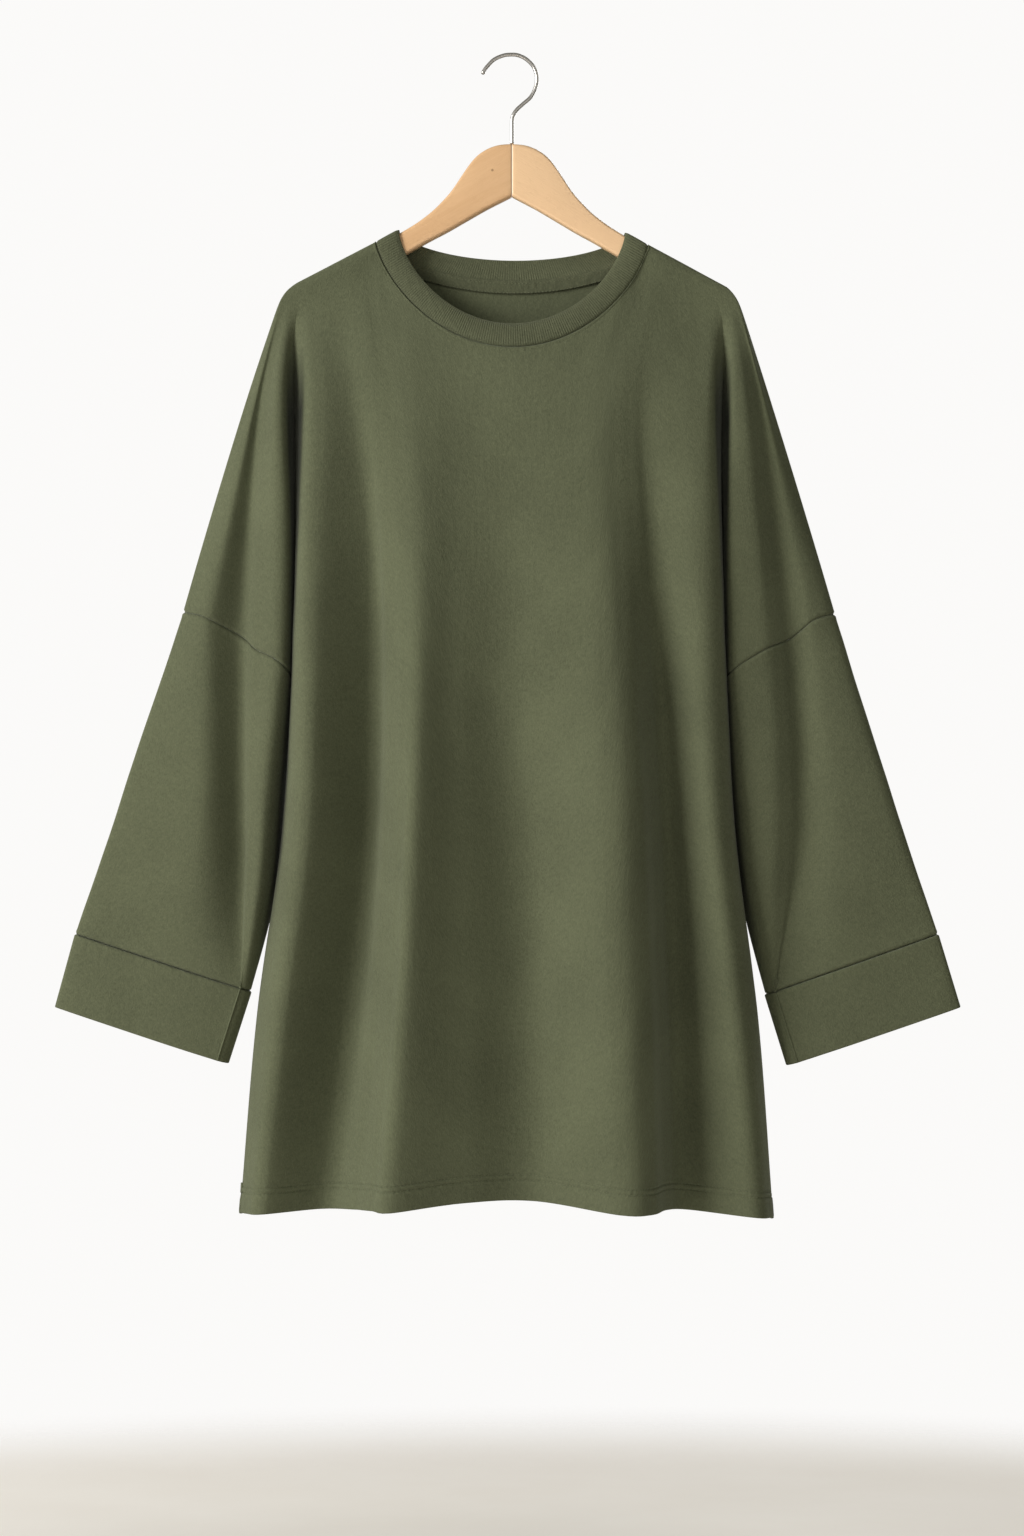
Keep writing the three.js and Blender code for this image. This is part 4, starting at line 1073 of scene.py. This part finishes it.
def makeArm(side, sign, look):
    outline = hanger["outline"]
    last = len(outline) - 1
    stations = [[cubicAt(lambda n: outline[n][column], k / 4, 0, last) for column in range(3)]
                for k in range(4 * last + 1)]
    across, top, under = stations[-1]
    for k in range(1, 25):
        step = (hanger["tip"] - 8 - across) * k / 24
        stations.append([across + step, top - step * hang["armLean"],
                         under - step * hang["armLean"] * 1.02])
    endAcross, endTop, endUnder = stations[-1]
    rounding = []
    for k in range(1, 9):
        turn = math.pi / 2 * k / 8.4
        forward = 8 * math.sin(turn)
        shrink = math.cos(turn)
        middle = (endTop + endUnder) / 2 - forward * hang["armLean"]
        height = (endTop - endUnder) / 2 * (0.25 + 0.75 * shrink)
        rounding.append([endAcross + forward, middle + height, middle - height])
    narrow = [1 - 0.05 * math.exp(-k * 1.2) for k in range(len(stations))]
    narrow += [0.35 + 0.65 * math.cos(math.pi / 2 * k / 8.4) ** 0.6 for k in range(1, 9)]
    stations += rounding
    stations[0][0] = 0.12
    rows = []
    for (across, top, under), share in zip(stations, narrow):
        half = hanger["half"] * share
        corner = min(hanger["corner"], half * 0.9, (top - under) / 2 * 0.9)
        ring = []
        for quarter, (sy, sz) in enumerate(((1, 1), (-1, 1), (-1, -1), (1, -1))):
            for step in range(7):
                turn = (quarter + step / 6) * math.pi / 2
                x = sign * across
                ring.append(Vector((
                    x, sy * (half - corner) + corner * math.cos(turn),
                    (top - corner if sz > 0 else under + corner) + corner * math.sin(turn)
                    - x * hang["tilt"])))
        rows.append(ring)
    arm = meshFrom("hanger_wood_" + side, rows, closed=True, capped=True)
    finishPiece(arm, look, "beech", "hanger_arm_" + side)


wood = woodLook()
makeArm("left", -1, wood)
makeArm("right", 1, wood)

hook = {
    "wire": 1.75,
    "line": ((-27.3, -16.4), (-25.2, -12.3), (-22.3, -8.6), (-16.4, -2.8), (-7.8, 0.95),
             (0, 1.75), (6, 1), (12.6, -2.1), (18.8, -7.9), (21.9, -14), (22.9, -20.5),
             (21.7, -28.4), (17.3, -37.2), (10, -43.8), (4.4, -49), (1.2, -54), (0, -59.6),
             (0, -68), (0, -80.8)),
    "sides": 20,
}


def steelLook():
    look = Finish("hook_steel")
    place = look.add("TexCoord", output=3)
    brushed = look.noise(look.stretched(place, (1, 1, 0.25)), 900, 3, 0.6)
    dull = look.noise(place, 60, 2, 0.5)
    base = look.mix(dull, (0.58, 0.55, 0.52, 1), (0.7, 0.68, 0.65, 1))
    return look.set(Base_Color=base, Metallic=1.0, Roughness=0.26 + brushed * 0.08,
                    Normal=look.bump(brushed - 0.5, 0.00001))


def makeHook():
    line = hook["line"]
    last = len(line) - 1
    steps = 6 * last
    centres = [Vector((cubicAt(lambda n: line[n][0], k / 6, 0, last), 0,
                       cubicAt(lambda n: line[n][1], k / 6, 0, last))) for k in range(steps + 1)]
    rows = []
    for k, centre in enumerate(centres):
        along = (centres[min(k + 1, steps)] - centres[max(k - 1, 0)]).normalized()
        out = Vector((0, 1, 0)).cross(along)
        # the free end is upset into a small round bead
        reach = (centre - centres[0]).length
        width = hook["wire"]
        if reach < 3.4:
            width = 2.0 * math.sqrt(max(1 - ((reach - 1.9) / 2.05) ** 2, 0.03))
            width = max(width, hook["wire"] * min(reach / 3.4, 1))
        ring = []
        for side in range(hook["sides"]):
            turn = 2 * math.pi * side / hook["sides"]
            ring.append(centre + (out * math.cos(turn) + Vector((0, 1, 0)) * math.sin(turn))
                        * width)
        rows.append(ring)
    piece = meshFrom("hook_wire", rows, closed=True, capped=True)
    finishPiece(piece, steelLook(), "steel", "hanger_hook")


makeHook()
print("hanger made")


studio = {
    "floorMiddle": (0, -2, -1.283),
    "floorHalf": 2.3,
    "fade": (1.93, 2.2),
    "wall": (0.965, 0.957, 0.945, 1),
    "ambient": 0.19,
    "cameraBack": 2.6,
    "cameraHeight": -0.6546,
    "lens": 66.234,
    # for each lamp: where it stands, what it faces, its size, watts and colour
    "lamps": {
        "key": ((-3.18, -1.93, 0.55), (0, 0, -0.6), (1.6, 2.2), 161, (1, 0.99, 0.97)),
        "fill": ((1.3, -3.6, 0.6), (0.2, 0, -0.6), (2.4, 2.4), 13, (1, 1, 1)),
        "behind": ((1.5, 3.2, 0.8), (0, 0, -0.6), (2.2, 2.2), 60, (1, 1, 1)),
    },
}


def makeFloor():
    bm = bmesh.new()
    bmesh.ops.create_grid(bm, x_segments=2, y_segments=2, size=studio["floorHalf"],
                          matrix=Matrix.Translation(studio["floorMiddle"]))
    floor = objectFrom("floor", bm)
    look = Finish("pale_floor")
    place = look.add("TexCoord", output=3)
    away = look.add("VectorMath", {"operation": "DISTANCE"},
                    {0: place, 1: studio["floorMiddle"]}, output=1)
    cloud = look.noise(look.stretched(place, (1, 1.8, 1)), 5, 5, 0.6)
    base = look.mix(cloud, (0.9, 0.85, 0.79, 1), (0.98, 0.945, 0.9, 1))
    floor.data.materials.append(look.set(
        Base_Color=base, Roughness=0.8, Alpha=1 - away.part(*studio["fade"])))


def makeWorld():
    world = bpy.data.worlds.new("studio")
    world.use_nodes = True
    bpy.context.scene.world = world
    look = Finish("studio", world.node_tree)
    look.tree.nodes.clear()
    seen = look.add("LightPath", output=0)
    plain = look.add("Background", None, {"Color": studio["wall"], "Strength": 1.0})
    light = look.add("Background", None, {"Color": (1, 0.98, 0.84, 1),
                                          "Strength": studio["ambient"]})
    either = look.add("MixShader", None, {0: seen, 1: light, 2: plain})
    out = look.tree.nodes.new("ShaderNodeOutputWorld")
    look.feed(out.inputs["Surface"], either)


def addLight(name, place, aim, size, watts, colour):
    lamp = bpy.data.lights.new(name, "AREA")
    lamp.shape = "RECTANGLE"
    lamp.size, lamp.size_y = size
    lamp.energy = watts
    lamp.color = colour
    light = bpy.data.objects.new(name, lamp)
    bpy.context.scene.collection.objects.link(light)
    light.location = place
    light.rotation_euler = (Vector(aim) - Vector(place)).to_track_quat("-Z", "Y").to_euler()


makeFloor()
makeWorld()
for name, lamp in studio["lamps"].items():
    addLight(name, *lamp)

lens = bpy.data.cameras.new("camera")
lens.lens = studio["lens"]
lens.sensor_width = 36
lens.clip_end = 60
camera = bpy.data.objects.new("camera", lens)
camera.location = (0, -studio["cameraBack"], studio["cameraHeight"])
camera.rotation_euler = (math.pi / 2, 0, 0)
bpy.context.scene.collection.objects.link(camera)
bpy.context.scene.camera = camera
bpy.context.scene.view_settings.view_transform = "Standard"
print("floor, lights and camera set")
